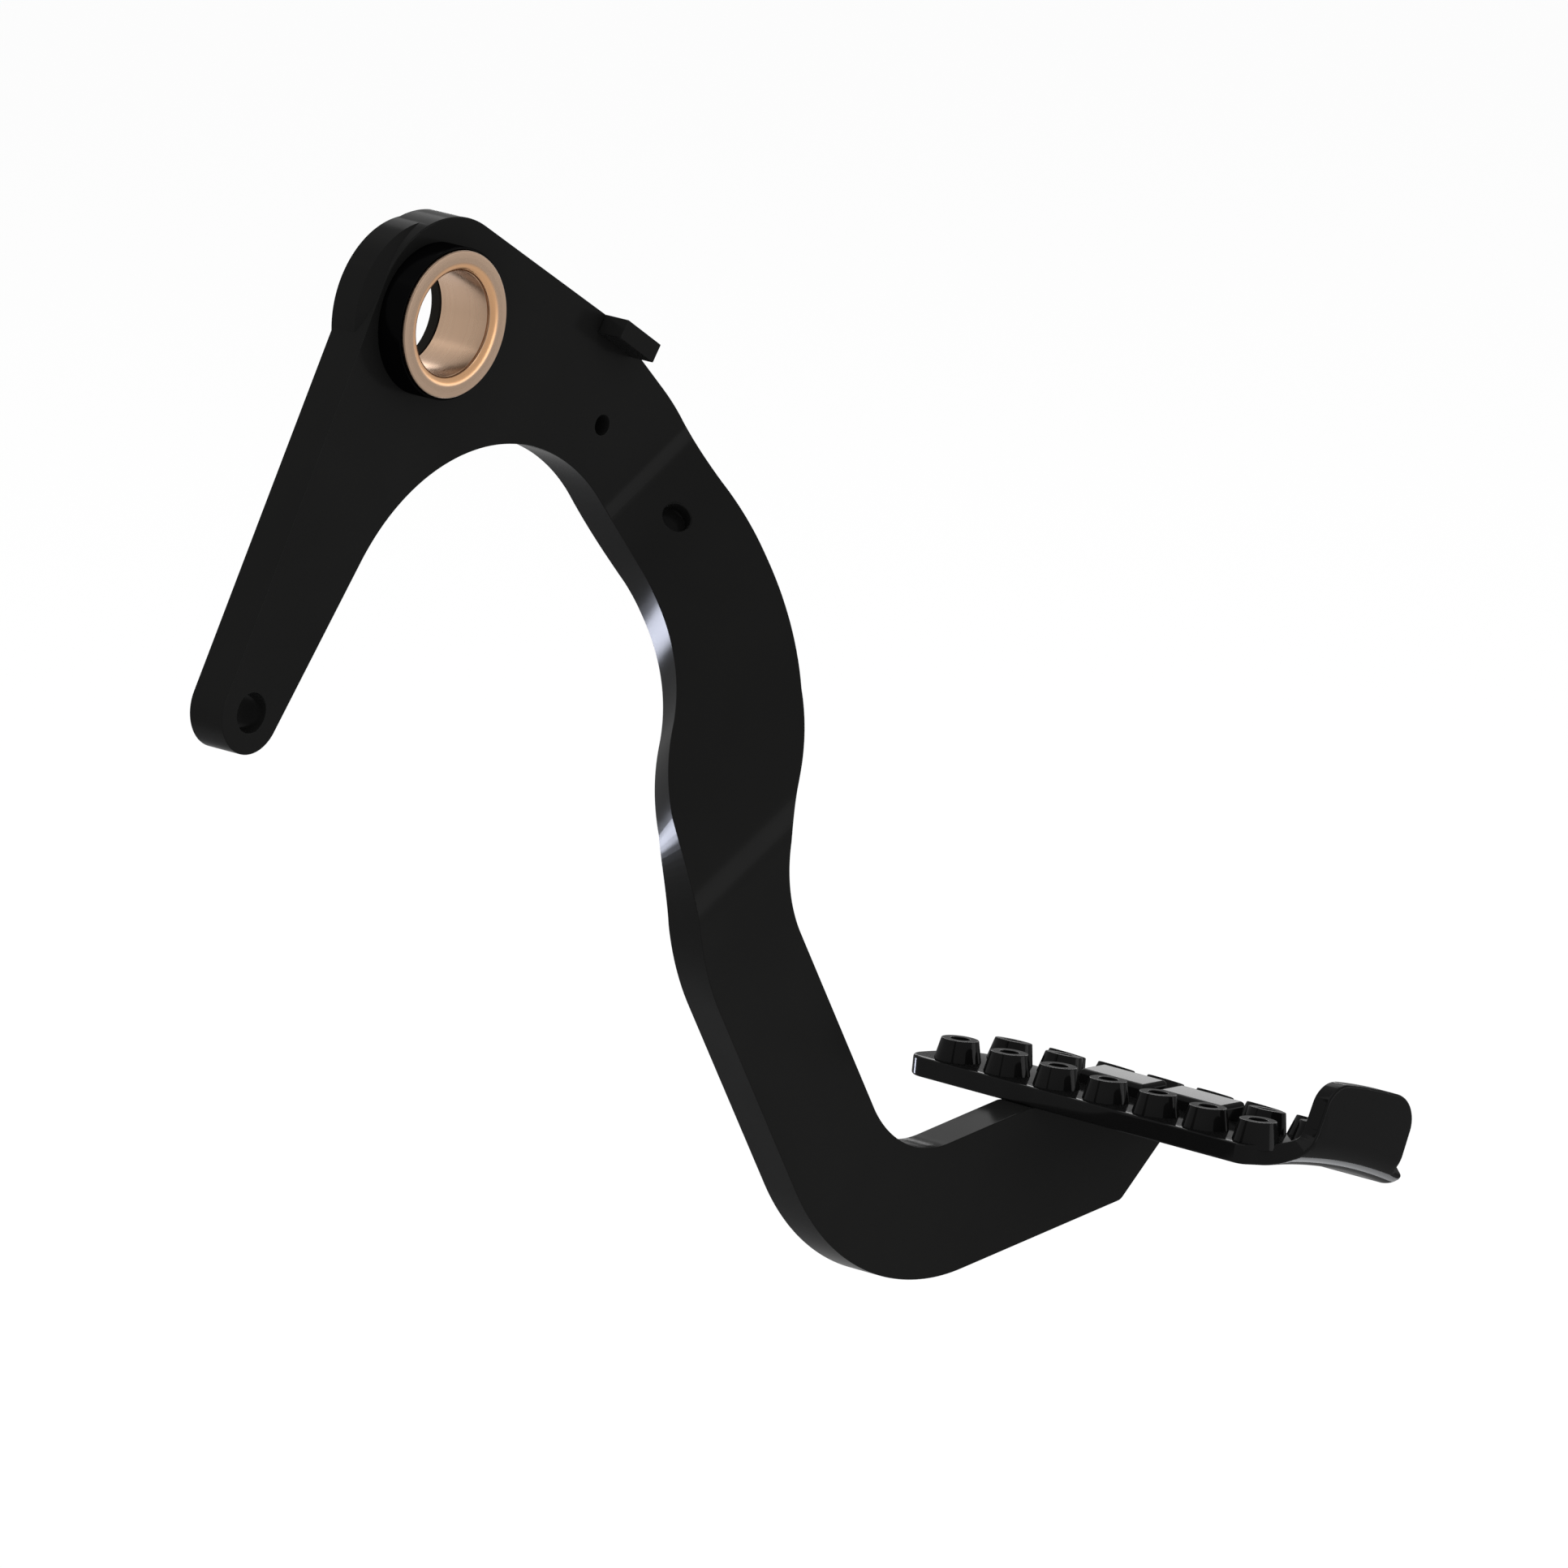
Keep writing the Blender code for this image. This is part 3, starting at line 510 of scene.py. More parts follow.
def bend_middle(sizes):
    """Radius of the bends at mid thickness."""
    return sizes.bend_radius + sizes.thickness / 2


def bend_lengths(sizes):
    """Distances from the pivot, on the flat plate, where the bends start and end."""
    middle = bend_middle(sizes)
    turn = sizes.bend_angle
    web = (sizes.bend_offset - 2 * middle * (1 - cos(turn))) / sin(turn)
    first_end = BEND_DISTANCE + middle * turn
    return [BEND_DISTANCE, first_end, first_end + web, first_end + web + middle * turn]


def bend_shortening(sizes):
    """How much nearer the bends bring the long arm to the pivot, along the bend normal."""
    middle = bend_middle(sizes)
    turn = sizes.bend_angle
    start, first_end, second_start, end = bend_lengths(sizes)
    return end - start - 2 * middle * sin(turn) - (second_start - first_end) * cos(turn)


def joggled(sizes, x, z, forward):
    """Place of a point of the flat plate after bending. forward counts from mid thickness."""
    middle = bend_middle(sizes)
    turn = sizes.bend_angle
    down = bend_normal()
    level = along(BEND_LINE_ANGLE)
    flat = Vector((x, z))
    reach = flat.dot(down)
    start, first_end, second_start, end = bend_lengths(sizes)
    tilt = 0.0
    run = reach
    lift = 0.0
    if reach > start:
        tilt = min(reach - start, first_end - start) / middle
        run = start + middle * sin(tilt)
        lift = middle * (1 - cos(tilt))
    if reach > first_end:
        web = min(reach, second_start) - first_end
        run += web * cos(turn)
        lift += web * sin(turn)
    if reach > second_start:
        tilt = turn - (min(reach, end) - second_start) / middle
        run += middle * (sin(turn) - sin(tilt))
        lift += middle * (cos(tilt) - cos(turn))
    if reach > end:
        run += reach - end
    run -= forward * sin(tilt)
    lift += forward * cos(tilt)
    spot = down * run + level * flat.dot(level)
    return Vector((spot.x, sizes.thickness / 2 - lift, spot.y))


def lever_outline(sizes, pad):
    """Outline of the flat plate, clockwise from the left of the head."""
    span = HEAD - ROD_HOLE
    left_angle = degrees(atan2(span.y, span.x) + asin((HEAD_RADIUS - ROD_EYE_RADIUS) / span.length))
    head_end = HEAD + HEAD_RADIUS * along(UPPER_EDGE_ANGLE + 90)
    shoulder = head_end + UPPER_EDGE_LENGTH * along(UPPER_EDGE_ANGLE)
    shank_back = SHANK + SHANK_WIDTH * along(SHANK_ANGLE - 90)
    rod_edge = ROD_HOLE + ROD_EYE_RADIUS * along(ROD_ARM_ANGLE - 90)
    axis = pad_axis(pad) + bend_normal() * bend_shortening(sizes)
    seat_radius = pad.radius - pad.thickness
    seat_start = 90 - degrees((pad_edges(pad)[0] / pad.radius) - TOE_TOP_REACH / seat_radius)
    seat_end = line_meets_circle(TOE_END, TOE_END_ANGLE, axis, seat_radius)
    toe_top = axis + seat_radius * along(seat_start)
    toe_bottom = toe_top + TOE_DEPTH * along(TOE_TOP_ANGLE - 90)

    points = arc(HEAD, HEAD_RADIUS, left_angle + 90, UPPER_EDGE_ANGLE + 90)
    points += rounded([
        (head_end, 0.0),
        (shoulder, 0.001),
        (crossing(shoulder, SHOULDER_ANGLE, ARM_FRONT, -90), SHOULDER_BEND),
        (crossing(ARM_FRONT, -90, WAIST, WAIST_ANGLE), ARM_FRONT_BEND),
        (crossing(WAIST, WAIST_ANGLE, SHANK, SHANK_ANGLE), WAIST_BEND),
        (crossing(SHANK, SHANK_ANGLE, toe_top, TOE_TOP_ANGLE), TOE_INNER_BEND),
        (toe_top, 0.0),
    ])[1:-1]
    points += arc(axis, seat_radius, seat_start, seat_end)
    points += rounded([
        (TOE_END, 0.0),
        (crossing(TOE_END, TOE_END_ANGLE, toe_bottom, TOE_BOTTOM_ANGLE), TOE_END_ROUND),
        (crossing(toe_bottom, TOE_BOTTOM_ANGLE, shank_back, SHANK_ANGLE), TOE_OUTER_BEND),
        (crossing(shank_back, SHANK_ANGLE, BACK, BACK_ANGLE), BACK_LOWER_BEND),
        (crossing(BACK, BACK_ANGLE, ARCH_RIGHT, -90), BACK_UPPER_BEND),
        (crossing(ARCH_RIGHT, -90, ARCH_TOP, 0), ARCH_RIGHT_BEND),
        (crossing(ARCH_TOP, 0, rod_edge, ROD_ARM_ANGLE), ARCH_LEFT_BEND),
        (rod_edge, 0.0),
    ])[1:-1]
    points += arc(ROD_HOLE, ROD_EYE_RADIUS, ROD_ARM_ANGLE - 90, left_angle + 90 - 360)
    return points


def lever_mesh(sizes, pivot, pad):
    """Joggled plate with its head disc and its holes."""
    start, first_end, second_start, end = bend_lengths(sizes)
    normal = bend_normal().to_3d()
    planes = []
    for i in range(BEND_STEPS + 1):
        planes.append((normal, start + (first_end - start) * i / BEND_STEPS))
        planes.append((normal, second_start + (end - second_start) * i / BEND_STEPS))
    flat = plate_mesh(lever_outline(sizes, pad), sizes.thickness, sizes.edge)
    plate = bent(flat, planes, partial(joggled, sizes))

    rear = sizes.thickness + sizes.disc_proud
    front = sizes.edge / 4
    rim = sizes.disc_radius
    disc = turned([(rim - sizes.disc_chamfer, -front), (rim, -front - sizes.disc_chamfer),
                   (rim, -rear + sizes.edge), (rim - sizes.edge, -rear),
                   (pivot.bore / 2, -rear), (pivot.bore / 2, -front)], DISC_STEPS)
    disc.transform(FACING_FRONT)
    boss_seat = round_cutter(boss_radius(pivot), sizes.thickness * 3, SEAT_ROUND, DISC_STEPS, FACING_FRONT)
    middle = sizes.thickness / 2
    place = Matrix.Translation((ROD_HOLE.x, middle, ROD_HOLE.y)) @ FACING_FRONT
    rod = round_cutter(sizes.rod_hole / 2, sizes.thickness, ROD_HOLE_ROUND, ROD_HOLE_STEPS, place)
    place = Matrix.Translation((JIG_HOLE.x, middle, JIG_HOLE.y)) @ FACING_FRONT
    jig = round_cutter(sizes.jig_hole / 2, sizes.thickness, JIG_HOLE_ROUND, JIG_HOLE_STEPS, place)
    spot = bend_normal() * (first_end - WEB_HOLE_INSET) + along(BEND_LINE_ANGLE) * WEB_HOLE_ALONG
    face = joggled(sizes, spot.x, spot.y, sizes.thickness / 2)
    outward = face - joggled(sizes, spot.x, spot.y, 0.0)
    web = dimple_cutter(sizes.web_hole / 2, sizes.web_hole_depth, WEB_HOLE_ROUND, WEB_HOLE_STEPS)
    web.transform(Matrix.Translation(face) @ outward.to_track_quat('Z', 'Y').to_matrix().to_4x4())
    return joined(plate, [('UNION', disc), ('DIFFERENCE', boss_seat), ('DIFFERENCE', rod),
                          ('DIFFERENCE', jig), ('DIFFERENCE', web)])


# Boss, bush and stop lug

def boss_radius(sizes):
    """Outer radius of the boss."""
    return sizes.flange / 2 + sizes.gap + sizes.rim


def boss_back(sizes, lever):
    """Height of the boss's rear end."""
    return -lever.thickness - lever.disc_proud - sizes.rear


def boss_mesh(sizes, lever):
    """Steel tube through the head, with a seat for the flange and a ring behind the bush."""
    outer = boss_radius(sizes)
    front = sizes.reach - sizes.set_back
    rear = boss_back(sizes, lever)
    seat = sizes.flange / 2 + sizes.gap
    seat_depth = sizes.reach - sizes.flange_thickness
    sleeve = sizes.bore / 2 + sizes.wall
    ring = sizes.bore / 2
    stop = rear + sizes.ring
    edge = sizes.rim / 3
    profile = [(outer - edge, front), (outer - edge * 0.29, front - edge * 0.29),
               (outer, front - edge), (outer, rear + edge), (outer - edge, rear),
               (ring + edge, rear), (ring, rear + edge), (ring, stop - edge), (ring + edge, stop),
               (sleeve, stop), (sleeve, seat_depth), (seat, seat_depth),
               (seat, front - edge / 2), (seat + edge / 2, front)]
    mesh = turned(profile, TURNED_STEPS)
    mesh.transform(FACING_FRONT)
    return mesh


def bush_mesh(sizes, lever):
    """Flanged bronze bush with a rounded mouth and one turned line inside it."""
    bore = sizes.bore / 2
    flange = sizes.flange / 2
    sleeve = bore + sizes.wall - PRESS_GAP
    rear = boss_back(sizes, lever) + sizes.ring + PRESS_GAP
    back = sizes.reach - sizes.flange_thickness + PRESS_GAP
    profile = [(flange - FLANGE_ROUND + FLANGE_ROUND * sin(turn),
                sizes.reach - FLANGE_ROUND + FLANGE_ROUND * cos(turn)) for turn in FINE_QUARTER]
    mouth = sizes.reach - sizes.mouth_depth
    profile += [(flange, back), (sleeve, back), (sleeve, rear),
                (bore + BUSH_END_ROUND, rear), (bore, rear + BUSH_END_ROUND),
                (bore, mouth - LINE_REAR), (bore + LINE_DEPTH, mouth - LINE_FLOOR),
                (bore + LINE_DEPTH, mouth - LINE_FRONT), (bore, mouth)]
    width = sizes.mouth / 2 - bore
    for i in range(1, MOUTH_STEPS + 1):
        turn = pi / 2 * i / MOUTH_STEPS
        profile.append((bore + width * (1 - cos(turn)), mouth + sizes.mouth_depth * sin(turn)))
    mesh = turned(profile, TURNED_STEPS)
    mesh.transform(FACING_FRONT)
    return mesh


def lug_mesh(sizes):
    """Small block that overhangs the shoulder."""
    head_end = HEAD + HEAD_RADIUS * along(UPPER_EDGE_ANGLE + 90)
    corner = head_end + LUG_START * along(UPPER_EDGE_ANGLE)
    middle = corner + sizes.length / 2 * along(LUG_ANGLE) + sizes.width / 2 * along(LUG_ANGLE - 90)
    work = bmesh.new()
    bmesh.ops.create_cube(work, size=1.0)
    work.transform(Matrix.Diagonal((sizes.length, sizes.height, sizes.width, 1.0)))
    bmesh.ops.bevel(work, geom=work.edges[:], offset=sizes.edge, segments=3, affect='EDGES', profile=0.5)
    place = Matrix.Translation((middle.x, -sizes.height / 2, middle.y))
    work.transform(place @ Matrix.Rotation(radians(-LUG_ANGLE), 4, 'Y'))
    mesh = bpy.data.meshes.new("stop_lug_fine")
    work.to_mesh(mesh)
    work.free()
    return mesh


# Foot pad

def pad_axis(sizes):
    """Axis of the pad's roll in x and z, below the middle of the tread."""
    return PAD_MIDDLE - sizes.radius * along(90 - PAD_SLOPE)


def pad_edges(sizes):
    """Arc lengths of the pad's near and far edges."""
    middle = sizes.radius * radians(PAD_SLOPE)
    return middle - sizes.width / 2, middle + sizes.width / 2


def lip_middle(sizes):
    """Radius of the lip's bend at mid thickness."""
    return sizes.lip_radius + sizes.thickness / 2


def lip_bend_end(sizes):
    """Distance from the pivot plane, along mid thickness, where the lip's bend ends."""
    return -LIP_BEND_Y + lip_middle(sizes) * pi / 2


def rolled(sizes, across, back, up):
    """Place of a point of the flat pad. up counts from mid thickness."""
    middle = lip_middle(sizes)
    bend_end = lip_bend_end(sizes)
    reach = -back
    y = back
    height = up - sizes.thickness / 2
    if reach > -LIP_BEND_Y:
        turn = min((reach + LIP_BEND_Y) / middle, pi / 2)
        y = LIP_BEND_Y - (middle - up) * sin(turn)
        height = sizes.lip_radius - (middle - up) * cos(turn)
    if reach > bend_end:
        height += reach - bend_end
    spot = pad_axis(sizes) + (sizes.radius + height) * along(90 - degrees(across / sizes.radius))
    return Vector((spot.x, y, spot.y))


def pad_outline(sizes):
    """Outline of the flat pad in (arc length, y), clockwise from the far corner."""
    near, far = pad_edges(sizes)
    top = lip_bend_end(sizes) + sizes.lip_height - sizes.lip_radius
    step = LIP_BEND_Y - LIP_FAR_START
    middle_y = PAD_END_Y + (LIP_BEND_Y - PAD_END_Y) / 2
    return rounded([
        (Vector((far, middle_y)), 0.0),
        (Vector((far, step)), LIP_FAR_CORNER),
        (Vector((far - LIP_FAR_INSET, step)), LIP_FAR_CORNER),
        (Vector((far - LIP_FAR_INSET, -top)), LIP_FAR_ROUND),
        (Vector((near + LIP_NEAR_INSET, -top)), LIP_NEAR_ROUND),
        (Vector((near, 0.0)) + LIP_NEAR_FOOT, LIP_NEAR_FOOT_ROUND),
        (Vector((near, LIP_NEAR_START)), LIP_NEAR_TURN),
        (Vector((near, PAD_END_Y)), PAD_CORNER_ROUND),
        (Vector((far, PAD_END_Y)), PAD_CORNER_ROUND),
        (Vector((far, middle_y)), 0.0),
    ])[:-1]


def on_tread(sizes, angle, y):
    """Frame on the tread surface, its Z axis square to it."""
    axis = pad_axis(sizes)
    turn = Matrix.Rotation(radians(angle), 4, 'Y')
    return Matrix.Translation((axis.x, y, axis.y)) @ turn @ Matrix.Translation((0.0, 0.0, sizes.radius))


def row_angle(sizes, row):
    """Angle of a row of studs from straight up."""
    return PAD_SLOPE + degrees((row - (STUD_ROWS - 1) / 2) * ROW_PITCH / sizes.radius)


def stud_mesh(sizes):
    """One hollow stud standing on z = 0 and rooted a little below it."""
    base = sizes.stud_base / 2
    top = sizes.stud_top / 2
    slope = (base - top) / sizes.stud_height
    height = sizes.stud_height
    hole = sizes.stud_hole / 2
    floor = height - sizes.stud_hole_depth
    edge = STUD_ROUND
    root = sizes.thickness / 4
    profile = [(0.0, -root), (base + slope * root, -root), (base, 0.0), (top + slope * edge, height - edge),
               (top - edge * 0.2, height - edge * 0.3), (top - edge, height),
               (hole + edge, height), (hole + edge * 0.3, height - edge * 0.3), (hole, height - edge),
               (hole, floor + edge), (hole - edge, floor), (0.0, floor - 0.0002)]
    return turned(profile, STUD_STEPS, closed=False)


def tread_mesh(sizes):
    """All studs and the plain bars in the middle row."""
    single = stud_mesh(sizes)
    work = bmesh.new()
    first = (STUD_COUNT - BARE_STUDS) // 2
    for row in range(STUD_ROWS):
        middle_row = row == STUD_ROWS // 2
        pitch = MIDDLE_ROW_PITCH if middle_row else STUD_PITCH
        for i in range(STUD_COUNT):
            if middle_row and first <= i < first + BARE_STUDS:
                continue
            y = ROW_MIDDLE_Y + ROW_SHIFTS[row] - (i - (STUD_COUNT - 1) / 2) * pitch
            copy = single.copy()
            copy.transform(on_tread(sizes, row_angle(sizes, row), y))
            work.from_mesh(copy)
            bpy.data.meshes.remove(copy)
    half = (BARE_STUDS + 1) / 2 * MIDDLE_ROW_PITCH - sizes.stud_base / 2 - sizes.bar_space
    reach = (2 * half - (BAR_COUNT - 1) * sizes.bar_space) / BAR_COUNT
    angle = row_angle(sizes, STUD_ROWS // 2)
    root = sizes.thickness / 4
    for i in range(BAR_COUNT):
        y = ROW_MIDDLE_Y + half - reach / 2 - i * (reach + sizes.bar_space)
        made = bmesh.ops.create_cube(work, size=1.0)["verts"]
        for vertex in made:
            if vertex.co.x < 0 and vertex.co.z > 0:
                vertex.co.z -= sizes.bar_slope / (sizes.stud_height + root)
        size = Matrix.Diagonal((sizes.bar_width, reach, sizes.stud_height + root, 1.0))
        lift = Matrix.Translation((0.0, 0.0, (sizes.stud_height - root) / 2))
        bmesh.ops.transform(work, matrix=on_tread(sizes, angle, y) @ lift @ size, verts=made)
        rims = [edge for edge in work.edges if edge.verts[0] in made and edge.verts[1] in made]
        bmesh.ops.bevel(work, geom=rims, offset=sizes.bar_round, segments=6, affect='EDGES', profile=0.5)
    mesh = bpy.data.meshes.new("tread")
    work.to_mesh(mesh)
    work.free()
    bpy.data.meshes.remove(single)
    return mesh


def pad_mesh(sizes):
    """Rolled pad plate with its lip and its tread."""
    bend = lip_bend_end(sizes) + LIP_BEND_Y
    across = Vector((1.0, 0.0, 0.0))
    lengthwise = Vector((0.0, -1.0, 0.0))
    near, far = pad_edges(sizes)
    planes = [(across, near + (far - near) * i / TREAD_STEPS) for i in range(1, TREAD_STEPS)]
    planes += [(lengthwise, -LIP_BEND_Y + bend * i / BEND_STEPS) for i in range(BEND_STEPS + 1)]
    flat = plate_mesh(pad_outline(sizes), sizes.thickness, sizes.edge)
    plate = bent(flat, planes, partial(rolled, sizes))
    return joined(plate, [('UNION', tread_mesh(sizes))])


# Finishes

def fed(tree, node, inputs):
    """Node with its inputs, given as (socket, value or output) pairs."""
    for socket, value in inputs:
        if isinstance(value, bpy.types.NodeSocket):
            tree.links.new(value, node.inputs[socket])
        else:
            node.inputs[socket].default_value = value
    return node


def add_node(tree, kind, inputs=(), **settings):
    """Shader node with its settings and inputs."""
    node = tree.nodes.new("ShaderNode" + kind)
    for key, value in settings.items():
        setattr(node, key, value)
    return fed(tree, node, inputs)


def maths(tree, operation, a, b=0.0, c=0.0):
    """Output of a Math node."""
    return add_node(tree, "Math", [(0, a), (1, b), (2, c)], operation=operation).outputs[0]


def times(tree, a, b):
    """Output of a product."""
    return maths(tree, 'MULTIPLY', a, b)


def blended(tree, factor, a, b):
    """Output of a colour mix."""
    return add_node(tree, "Mix", [(0, factor), (6, a), (7, b)], data_type='RGBA').outputs[2]


def scaled(tree, colour, level):
    """Output of a colour times a level."""
    return add_node(tree, "VectorMath", [(0, colour), ("Scale", level)], operation='SCALE').outputs[0]


def rise(tree, value, start, end, low, high, course='SMOOTHSTEP'):
    """Output that goes from low to high while a value goes from start to end."""
    node = add_node(tree, "MapRange", [("Value", value), ("From Min", start), ("From Max", end),
                                       ("To Min", low), ("To Max", high)], interpolation_type=course)
    return node.outputs[0]


def noise(tree, inputs):
    """Output of a noise texture."""
    return add_node(tree, "TexNoise", inputs).outputs["Fac"]


def new_group(name, inputs, outputs):
    """Shader node group with named sockets; returns (group, what it is given, output node)."""
    group = bpy.data.node_groups.new(name, 'ShaderNodeTree')
    for label, kind, value in inputs:
        socket = group.interface.new_socket(label, in_out='INPUT', socket_type="NodeSocket" + kind)
        if value is not None:
            socket.default_value = value
    for label, kind in outputs:
        group.interface.new_socket(label, in_out='OUTPUT', socket_type="NodeSocket" + kind)
    return group, group.nodes.new("NodeGroupInput").outputs, group.nodes.new("NodeGroupOutput")


def paint_film_group():
    """Sprayed black film: ripple, slow change of tone, and fine dust that dulls it."""
    group, given, made = new_group(
        "paint_film",
        [("Position", "Vector", None), ("Colour", "Color", (0.003, 0.003, 0.003, 1.0)),
         ("Tone Change", "Float", 0.2), ("Gloss", "Float", 0.2), ("Ripple Scale", "Float", 700.0),
         ("Dust", "Float", 0.3)],
        [("Colour", "Color"), ("Gloss", "Float"), ("Height", "Float")])
    position = given["Position"]
    ripple = noise(group, [("Vector", position), ("Scale", given["Ripple Scale"]), ("Detail", 2.0),
                           ("Roughness", 0.45)])
    slow = noise(group, [("Vector", position), ("Scale", 34.0), ("Detail", 3.0), ("Roughness", 0.55),
                         ("Distortion", 0.4)])
    specks = add_node(group, "TexVoronoi", [("Vector", position), ("Scale", 900.0), ("Randomness", 1.0)])
    speck = rise(group, specks.outputs["Distance"], 0.12, 0.02, 0.0, 1.0, 'LINEAR')
    patches = rise(group, slow, 0.45, 0.75, 0.0, 1.0, 'LINEAR')
    dust = times(group, speck, times(group, patches, given["Dust"]))
    change = maths(group, 'SUBTRACT', slow, 0.5)
    level = maths(group, 'MULTIPLY_ADD', change, given["Tone Change"], 1.0)
    tone = scaled(group, given["Colour"], level)
    coloured = blended(group, times(group, dust, 0.06), tone, (0.18, 0.17, 0.16, 1.0))
    sheen = times(group, maths(group, 'MULTIPLY_ADD', change, 0.25, 1.0),
                  maths(group, 'MULTIPLY_ADD', dust, -0.6, 1.0))
    gloss = times(group, sheen, given["Gloss"])
    fed(group, made, [("Colour", coloured), ("Gloss", gloss), ("Height", ripple)])
    return group


def turning_marks_group():
    """Fine lines left by turning round the pivot axis."""
    group, given, made = new_group(
        "turning_marks",
        [("Position", "Vector", None), ("Pitch", "Float", 0.00012), ("Strength", "Float", 0.5)],
        [("Height", "Float"), ("Streak", "Float"), ("Radius", "Float")])
    x, y, z = add_node(group, "SeparateXYZ", [(0, given["Position"])]).outputs
    radius = maths(group, 'SQRT', maths(group, 'ADD', times(group, x, x), times(group, z, z)))
    sway = times(group, maths(group, 'SINE', maths(group, 'ARCTAN2', z, x)), 0.6)
    lines = add_node(group, "CombineXYZ", [
        (0, maths(group, 'DIVIDE', radius, given["Pitch"])),
        (1, maths(group, 'DIVIDE', y, given["Pitch"])), (2, sway)]).outputs[0]
    fine = noise(group, [("Vector", lines), ("Scale", 1.0), ("Detail", 2.0), ("Roughness", 0.5)])
    broad = noise(group, [("Vector", lines), ("Scale", 0.11), ("Detail", 1.0)])
    height = times(group, fine, given["Strength"])
    streak = times(group, maths(group, 'SUBTRACT', broad, 0.5), given["Strength"])
    fed(group, made, [("Height", height), ("Streak", streak), ("Radius", radius)])
    return group


def new_material(name, metallic, specular):
    """Material with its shader and object position."""
    material = bpy.data.materials.new(name)
    material.use_nodes = True
    tree = material.node_tree
    shader = tree.nodes["Principled BSDF"]
    shader.inputs["Metallic"].default_value = metallic
    shader.inputs["Specular IOR Level"].default_value = specular
    position = add_node(tree, "TexCoord").outputs["Object"]
    return material, tree, shader, position


def placed(tree, group, inputs):
    """Outputs of a node group placed in a material with its own values."""
    return add_node(tree, "Group", inputs, node_tree=group).outputs


def bumped(tree, shader, height, distance):
    """Height as a small bump on a shader."""
    bump = add_node(tree, "Bump", [("Height", height), ("Distance", distance), ("Strength", 1.0)])
    tree.links.new(bump.outputs[0], shader.inputs["Normal"])


def paint(name, groups, tint, gloss, roughness, finish, tone=0.25, ripple=700.0, dust=0.35):
    """Clear gloss over a black film. The gloss takes (square on, slanting, glancing) weights."""
    material, tree, shader, position = new_material(name, 0.0, 0.0)
    facing = add_node(tree, "LayerWeight", [("Blend", 0.5)]).outputs["Facing"]
    slanting = rise(tree, facing, *SLANTING, gloss[0], gloss[1])
    weight = maths(tree, 'ADD', slanting, rise(tree, facing, *GLANCING, 0.0, gloss[2] - gloss[1]))
    film = placed(tree, groups["film"], [
        ("Position", position), ("Colour", (*tint, 1.0)), ("Tone Change", tone), ("Gloss", weight),
        ("Ripple Scale", ripple), ("Dust", dust)])
    fed(tree, shader, [("Base Color", film["Colour"]), ("Coat Weight", film["Gloss"]),
                       ("Coat Roughness", roughness)])
    bumped(tree, shader, film["Height"], finish.peel)
    return material


def dark_steel(groups, finish):
    """Dull dark steel of the boss, with turning lines."""
    material, tree, shader, position = new_material("oiled_dark_steel", 0.0, 0.0)
    marks = placed(tree, groups["marks"], [("Position", position), ("Pitch", 0.00025), ("Strength", 0.8)])
    film = placed(tree, groups["film"], [
        ("Position", position), ("Colour", (*finish.boss, 1.0)), ("Tone Change", 0.3), ("Gloss", 0.03),
        ("Ripple Scale", 900.0), ("Dust", 0.2)])
    worn = rise(tree, marks["Radius"], *RING_EDGE, 0.0, 1.0)
    bare = blended(tree, worn, film["Colour"], (*finish.ring, 1.0))
    fed(tree, shader, [("Base Color", bare), ("Coat Weight", film["Gloss"]), ("Coat Roughness", 0.18)])
    bumped(tree, shader, marks["Height"], STEEL_MARKS)
    return material


def bronze(groups, finish):
    """Turned bronze of the bush, with colours of their own for its flange, mouth and bore; those of the mouth
    and bore are painted light, a warmer and a lighter copy of the bronze standing in for the light reflected
    there.
    """
    material, tree, shader, position = new_material("turned_bronze", 1.0, 0.5)
    marks = placed(tree, groups["marks"], [("Position", position), ("Pitch", 0.00018), ("Strength", 0.5)])
    # Masks by radius for the painted light: a lighter bore and a warmer rounded mouth.
    bore_painted_light_fade = rise(tree, marks["Radius"], *BORE_PAINTED_LIGHT_EDGE, 0.0, 1.0)
    mouth_painted_light_mask = rise(tree, marks["Radius"], *MOUTH_PAINTED_LIGHT_EDGE, 0.0, 1.0)
    front = blended(tree, mouth_painted_light_mask, (*finish.bronze, 1.0), (*finish.bronze_mouth_painted_light, 1.0))
    tint = blended(tree, bore_painted_light_fade, (*finish.bronze_bore_painted_light, 1.0), front)
    level = maths(tree, 'MULTIPLY_ADD', marks["Streak"], 0.5, 1.0)
    rough = maths(tree, 'MULTIPLY_ADD', marks["Streak"], 0.25, finish.bronze_roughness)
    fed(tree, shader, [("Base Color", scaled(tree, tint, level)), ("Roughness", rough)])
    bumped(tree, shader, marks["Height"], BRONZE_MARKS)
    return material


# Stage

def seen(tree):
    """Output that is 1 for what the camera, reflections and transmission see, and else 0."""
    path = add_node(tree, "LightPath").outputs
    mirrored = maths(tree, 'MAXIMUM', path["Is Glossy Ray"], path["Is Transmission Ray"])
    return maths(tree, 'MAXIMUM', path["Is Camera Ray"], mirrored)


def floor_material(stage):
    """Pale floor that the camera and reflections see as white, with the object's shadow kept."""
    material = bpy.data.materials.new("pale_floor")
    material.use_nodes = True
    tree = material.node_tree
    shader = fed(tree, tree.nodes["Principled BSDF"], [
        ("Base Color", (*stage.floor, 1.0)), ("Roughness", 0.9), ("Specular IOR Level", 0.1)])
    glow = add_node(tree, "Emission", [("Color", (*WHITE, 1.0)), ("Strength", 1.0)])
    share_seen = times(tree, seen(tree), FLOOR_GLOW)
    mixer = add_node(tree, "MixShader", [(0, share_seen), (1, shader.outputs[0]), (2, glow.outputs[0])])
    tree.links.new(mixer.outputs[0], tree.nodes["Material Output"].inputs["Surface"])
    return material


